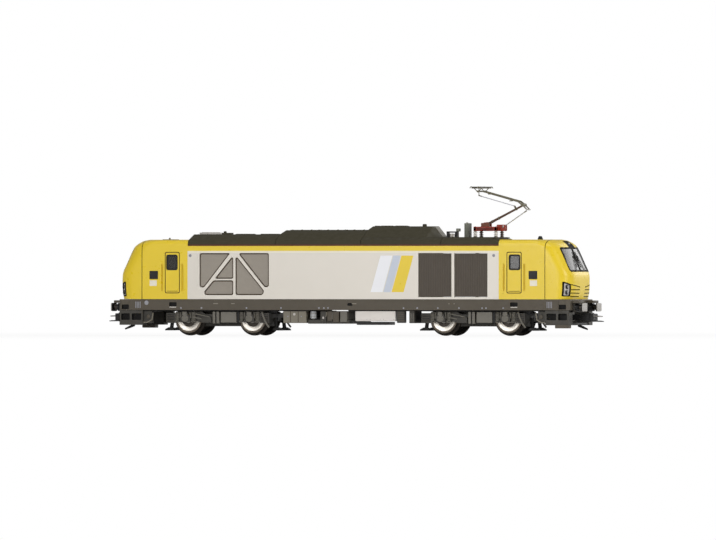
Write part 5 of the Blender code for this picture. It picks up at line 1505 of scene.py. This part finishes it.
def build_pan_base():
    """Frame on four insulators, with the arm's bearing and the rod's bearing."""
    (x0, x1), (low, high) = PAN_BASE, PAN_FRAME
    half, bar = 4.9, 1.4
    part = Part()
    for side in BOTH:
        part.at(1, side).box((x0, x1), (half - bar, half), (low + 0.15, high), "oxide", 0.18)
        part.box((x0 + 1.6, x1 - 1.6), (half - 0.35, half + 0.02), (low + 0.55, high - 0.45),
                 "oxide_dark", 0.08)
        part.bolts([(x0 + a, half - bar / 2, high) for a in (0.7, 3.6, 7.8, 10.7)], "Z", 0.26,
                   0.2, "steel")
        for x in (x0 + bar / 2, x1 - bar / 2):
            # insulators on the far side get porcelain painted darker as shade
            insulator(part, x, side * (half - bar / 2), low + 0.3,
                      "porcelain" if side < 0 else "porcelain_grey")
    part.at()
    foot = around(PAN_FOOT[0], 1.2)
    for x, top in (((x0, x0 + bar), high - 0.1), ((x1 - bar, x1), high - 0.1), (foot, high - 0.4)):
        part.box(x, (-half, half), (low + 0.1, top), "oxide", 0.18)
    part.box((foot[0] - 0.5, foot[1] + 0.9), (-half + 0.3, -2.9), (high - 0.4, high + 1.7),
             "brown_block", 0.3)
    rod_foot = (x1 - bar, PAN_ROD_FOOT[0] + 1.0)
    for x, room, pivot in ((foot, 1.8, PAN_FOOT), (rod_foot, 0.6, PAN_ROD_FOOT)):
        for side in BOTH:
            part.at(1, side).prism(rectangle(x, (low + 0.1, pivot[1] + 0.85), 0.6),
                                   (room, room + 0.8), "Y", "oxide", 0.1)
            part.turned([(0.5, room + 0.7), (0.5, room + 0.95), (0.3, room + 1.0)], pin(pivot),
                        "Y", "steel", 12)
    part.at().bar((x0 + 1.0, -1.0, high - 0.7), (foot[0], -1.0, high - 0.7), "steel")
    part.done("pan_base", "red_oxide", "pantograph_base")


def build_lower_arm():
    foot, knee, link = pin(PAN_FOOT), pin(PAN_KNEE), pin(PAN_LINK_LOW)
    part = Part().tube([foot, along(foot, knee, 0.5), knee], [0.62, 0.5, 0.44], "arm_brown", 14)
    # columns: profile, place, look, facets
    for profile, place, look, facets in (
            ([(1.0, -LINK_INNER), (1.0, LINK_INNER)], foot, "arm_brown", 20),
            ([(0.5, -1.6), (0.5, 1.6)], foot, "steel", 14),
            ([(0.7, -1.3), (0.75, -1.1), (0.75, 1.1), (0.7, 1.3)], knee, "arm", 18)):
        part.turned(profile, place, "Y", look, facets)
    direction = (Vector(knee) - Vector(foot)).normalized()
    nearest = Vector(foot) + direction * (Vector(link) - Vector(foot)).dot(direction)
    part.bar(nearest, link, "arm", 0.42)
    part.bar(link, pin(PAN_LINK_LOW, LINK_INNER), "steel", 0.28)
    for share in (0.12, 0.3, 0.78):
        part.bar(along(foot, knee, share), along(foot, knee, share + 0.03), "arm", 0.66, 14)
    part.done("lower_arm", "arm_grey", "pantograph_lower_arm", body="pantograph_lower_arm")


def build_upper_arm():
    """Two bowed tubes with cross bars, and the tail that the control rod holds."""
    knee, head, part = pin(PAN_KNEE, KNEE_Y), pin(PAN_HEAD, HEAD_Y), Part()
    bow = [tuple(a + b for a, b in zip(along(knee, head, share), (0, 0, lift)))
           for share, lift in ((0.1, 0.95), (0.96, 0.4))]
    for side in BOTH:
        part.at(1, side).tube([knee, bow[0], along(*bow, 0.5), bow[1], head],
                              [0.4, 0.38, 0.34, 0.3, 0.28], "arm", 12)
        part.tube([knee, pin(PAN_TAIL, KNEE_Y)], [0.34, 0.28], "tank")
        part.turned([(0.7, 1.6), (0.7, 2.4)], pin(PAN_KNEE), "Y", "arm", 16)
    part.at()
    for share in (0.3, 0.8):
        x, y, z = along(knee, head, share)
        part.bar((x, -y, z), (x, y, z), "arm", 0.2, 8)
    part.bar(pin(PAN_HEAD, -4.3), pin(PAN_HEAD, 4.3), "steel", 0.33, 12)
    part.bar(pin(PAN_TAIL, -2.4), pin(PAN_TAIL, 2.4), "steel", 0.33, 12)
    part.done("upper_arm", "arm_grey", "pantograph_upper_arm", body="pantograph_upper_arm")


def build_pan_head():
    """Two carbon strips on their rails, horns bent down at the ends, open end frames."""
    low, y = 1.3, 4.9
    part = Part()
    for side in BOTH:
        part.at(1, side, PAN_HEAD[0], 0, PAN_HEAD[1])
        for x in (-1.7, 1.7):
            part.tube([(x, 7.0, low + 0.3), (x, 8.6, low + 0.75), (x, 9.9, low + 0.75),
                       (x, 11.0, low + 0.2)], [0.3, 0.26, 0.22, 0.18], "arm", 8)
        for x in (-1.9, 1.9):
            part.bar((x, y, low + 0.3), (x * 0.15, y, -0.1), "arm", 0.2, 8)
        part.bar((-1.9, y, low + 0.3), (1.9, y, low + 0.3), "arm", 0.2, 8)
        part.turned([(0.5, 4.55), (0.5, 5.15)], (0, 0, 0), "Y", "arm", 14)
    part.at(x=PAN_HEAD[0], z=PAN_HEAD[1])
    for x in (-1.7, 1.7):
        part.box(around(x, 0.5), (-7.5, 7.5), (low, low + 0.45), "arm", 0.1)
        part.box(around(x, 0.38), (-7.3, 7.3), (low + 0.4, low + 0.9), "carbon", 0.1)
    part.box((-1.7, 1.7), (-0.3, 0.3), (low + 0.15, low + 0.6), "arm", 0.1)
    x, z = (link - head for link, head in zip(PAN_LINK_HIGH, PAN_HEAD))
    part.bar((x, 0, low + 0.3), (x, 0, z + 0.1), "arm", 0.2, 8)
    part.bar((x, -0.2, z + 0.15), (x, LINK_INNER, z + 0.15), "arm", 0.26, 8)
    part.done("pan_head", "arm_grey", "pantograph_head", body="pantograph_head")


def build_rods():
    """Control rod, short of its upper pin, and levelling rod."""
    foot, tail = Vector(pin(PAN_ROD_FOOT)), Vector(pin(PAN_TAIL))
    step = (tail - foot).normalized()
    part = Part().bar(foot, tail - step, "rod", 0.24)
    part.turned([(0.42, -0.28), (0.42, 0.28)], foot, "Y", "steel", 14)
    part.bar(tail - step * 2.3, tail - step, "steel", 0.3)
    part.done("control_rod", "light_grey", "pantograph_control_rod", body="pantograph_control_rod")
    low, high = pin(PAN_LINK_LOW, LINK_Y), pin(PAN_LINK_HIGH, LINK_Y)
    part = Part().bar(low, high, "rod_light", 0.2)
    for a, b in ((low, along(low, high, 0.06)), (along(low, high, 0.94), high)):
        part.bar(a, b, "steel", 0.25)
    part.done("levelling_rod", "light_grey", "pantograph_levelling_rod",
              body="pantograph_levelling_rod")


# ---- inside -------------------------------------------------------------------------
def dress_inside():
    """Gives the CAD pieces seen only through the glass their materials."""
    for name, look in (("cab_interior_1", "interior"), ("cab_interior_2", "interior"),
                       ("motor_block", "cast")):
        node = bpy.data.objects[name]
        node.data.materials.clear()
        node.data.materials.append(LOOKS[look])


# ---- everything ---------------------------------------------------------------------
def build_locomotive():
    build_body()
    build_doors()
    for side, word in SIDES:
        build_grille(side, word)
        for number in (1, 2):
            build_louvre(number, side, word)
    for end, number in ENDS:
        for build in (build_nose, build_glazing, build_nose_trim):
            build(end, number)
    for build in (build_radiator_roof, build_engine_roof, build_exhaust_hood, build_deck,
                  build_roof_edge, build_main_switch, build_transformer,
                  build_horn_and_aerial, build_sill, build_sill_fittings):
        build()
    for end, number in ENDS:
        for build in (build_beam, build_pilot, build_coupler):
            build(end, number)
        for side, word in SIDES:
            build_buffer(end, f"buffer_{number}_{word}")
    for number in WHEELS:
        build_gear_case(number)
        for side, word in SIDES:
            build_side_frame(number, side, word)
        for axle in (1, 2):
            build_wheelset(number, axle)
    for build in (build_tank, build_air_supply, build_canisters, build_cabinet, build_battery,
                  build_tray_and_filter, build_pan_base, build_lower_arm, build_upper_arm,
                  build_pan_head, build_rods, dress_inside):
        build()


# ---- camera, light and floor --------------------------------------------------------
WHITE = (1.0, 1.0, 1.0, 1.0)
WORLD_GREY = (0.3, 0.3, 0.3, 1.0)
# columns: name, place, aim, width, height, radiance (1 in all directions shows white)
LAMPS = (
    ("front_panel", (-0.09, -0.957, 0.25), (0, 0, 0.02), 0.48, 0.5, 3.9),
    ("top", (0.1, -0.2, 1.2), (0, 0, 0), 1.2, 0.8, 1.5),
    ("nose_side", (1.1, -0.35, 0.35), (0.05, 0, 0.02), 0.5, 0.5, 5.6),
    ("backdrop", (0.43, 0.82, 0.36), (0.1, 0, 0.03), 0.56, 0.62, 2.2),
)
AZIMUTH = math.radians(19.74)   # the camera stands this far round from the right-hand side
AIM_RIGHT, AIM_UP = 1.19 * MM, 30.1 * MM
DISTANCE = 8.0
SENSOR = 36.0
VIEW_WIDTH = 328.1 * MM         # what the picture spans at the locomotive
FLOOR_HALF = 15.0
FADE = (0.12, 0.5)              # the floor turns white this far from the middle


def shown_share(tree):
    """1 for rays that show a thing straight or through glass."""
    paths = tree.nodes.new("ShaderNodeLightPath")
    either = tree.nodes.new("ShaderNodeMath")
    either.operation = "MAXIMUM"
    tree.links.new(paths.outputs["Is Camera Ray"], either.inputs[0])
    tree.links.new(paths.outputs["Is Transmission Ray"], either.inputs[1])
    return either.outputs["Value"]


def build_world():
    """White where it shows, plain grey light otherwise."""
    world = bpy.data.worlds.new("studio")
    bpy.context.scene.world = world
    world.use_nodes = True
    tree = world.node_tree
    tree.nodes.clear()
    mix = tree.nodes.new("ShaderNodeMixShader")
    for slot, colour in ((1, WORLD_GREY), (2, WHITE)):
        light = tree.nodes.new("ShaderNodeBackground")
        light.inputs["Color"].default_value = colour
        tree.links.new(light.outputs["Background"], mix.inputs[slot])
    tree.links.new(shown_share(tree), mix.inputs["Fac"])
    output = tree.nodes.new("ShaderNodeOutputWorld")
    tree.links.new(mix.outputs["Shader"], output.inputs["Surface"])


def build_lamp(name, place, aim, width, height, radiance):
    """A rectangular soft box."""
    data = bpy.data.lights.new(name, "AREA")
    data.shape = "RECTANGLE"
    data.size, data.size_y = width, height
    data.energy = radiance * math.pi * width * height
    lamp = bpy.data.objects.new(name, data)
    bpy.context.scene.collection.objects.link(lamp)
    lamp.location = place
    lamp.rotation_euler = (Vector(aim) - Vector(place)).to_track_quat("-Z", "Y").to_euler()
    lamp.visible_camera = False


def build_floor():
    """A plain pale floor that keeps the shadow and fades into the white behind it."""
    mesh = bpy.data.meshes.new("floor")
    edge = (-FLOOR_HALF, FLOOR_HALF)
    mesh.from_pydata([(x, y, 0) for x, y in rectangle(edge, edge)], [], [(0, 1, 2, 3)])
    floor = bpy.data.objects.new("floor", mesh)
    bpy.context.scene.collection.objects.link(floor)
    surface = Surface("pale_floor", (250, 250, 250), 0.85, 0.0, 0.1)
    surface.shade(surface.noise(9.0, 2.0), 0.985)
    far = surface.node("ShaderNodeVectorMath", operation="LENGTH")
    surface.link(surface.coordinates, far.inputs[0])
    share = surface.product(surface.ramp(far.outputs["Value"], 0.86, 1.0, *FADE),
                            shown_share(surface.tree))
    glow = surface.node("ShaderNodeEmission")
    surface.set(glow, ("Color", WHITE))
    mix = surface.node("ShaderNodeMixShader")
    surface.link(share, mix.inputs["Fac"])
    surface.link(surface.shader.outputs["BSDF"], mix.inputs[1])
    surface.link(glow.outputs["Emission"], mix.inputs[2])
    output = surface.tree.nodes["Material Output"]
    surface.link(mix.outputs["Shader"], output.inputs["Surface"])
    mesh.materials.append(surface.material)


def build_camera():
    away = Vector((math.sin(AZIMUTH), -math.cos(AZIMUTH), 0.0))
    right = Vector((math.cos(AZIMUTH), math.sin(AZIMUTH), 0.0))
    data = bpy.data.cameras.new("camera")
    data.sensor_width = SENSOR
    data.lens = SENSOR * DISTANCE / VIEW_WIDTH
    camera = bpy.data.objects.new("camera", data)
    bpy.context.scene.collection.objects.link(camera)
    camera.location = right * AIM_RIGHT + Vector((0, 0, AIM_UP)) + away * DISTANCE
    camera.rotation_euler = (-away).to_track_quat("-Z", "Y").to_euler()
    bpy.context.scene.camera = camera


def build_stage():
    build_world()
    build_floor()
    for lamp in LAMPS:
        build_lamp(*lamp)
    build_camera()
    bpy.context.scene.view_settings.view_transform = "Standard"


build_locomotive()
build_stage()
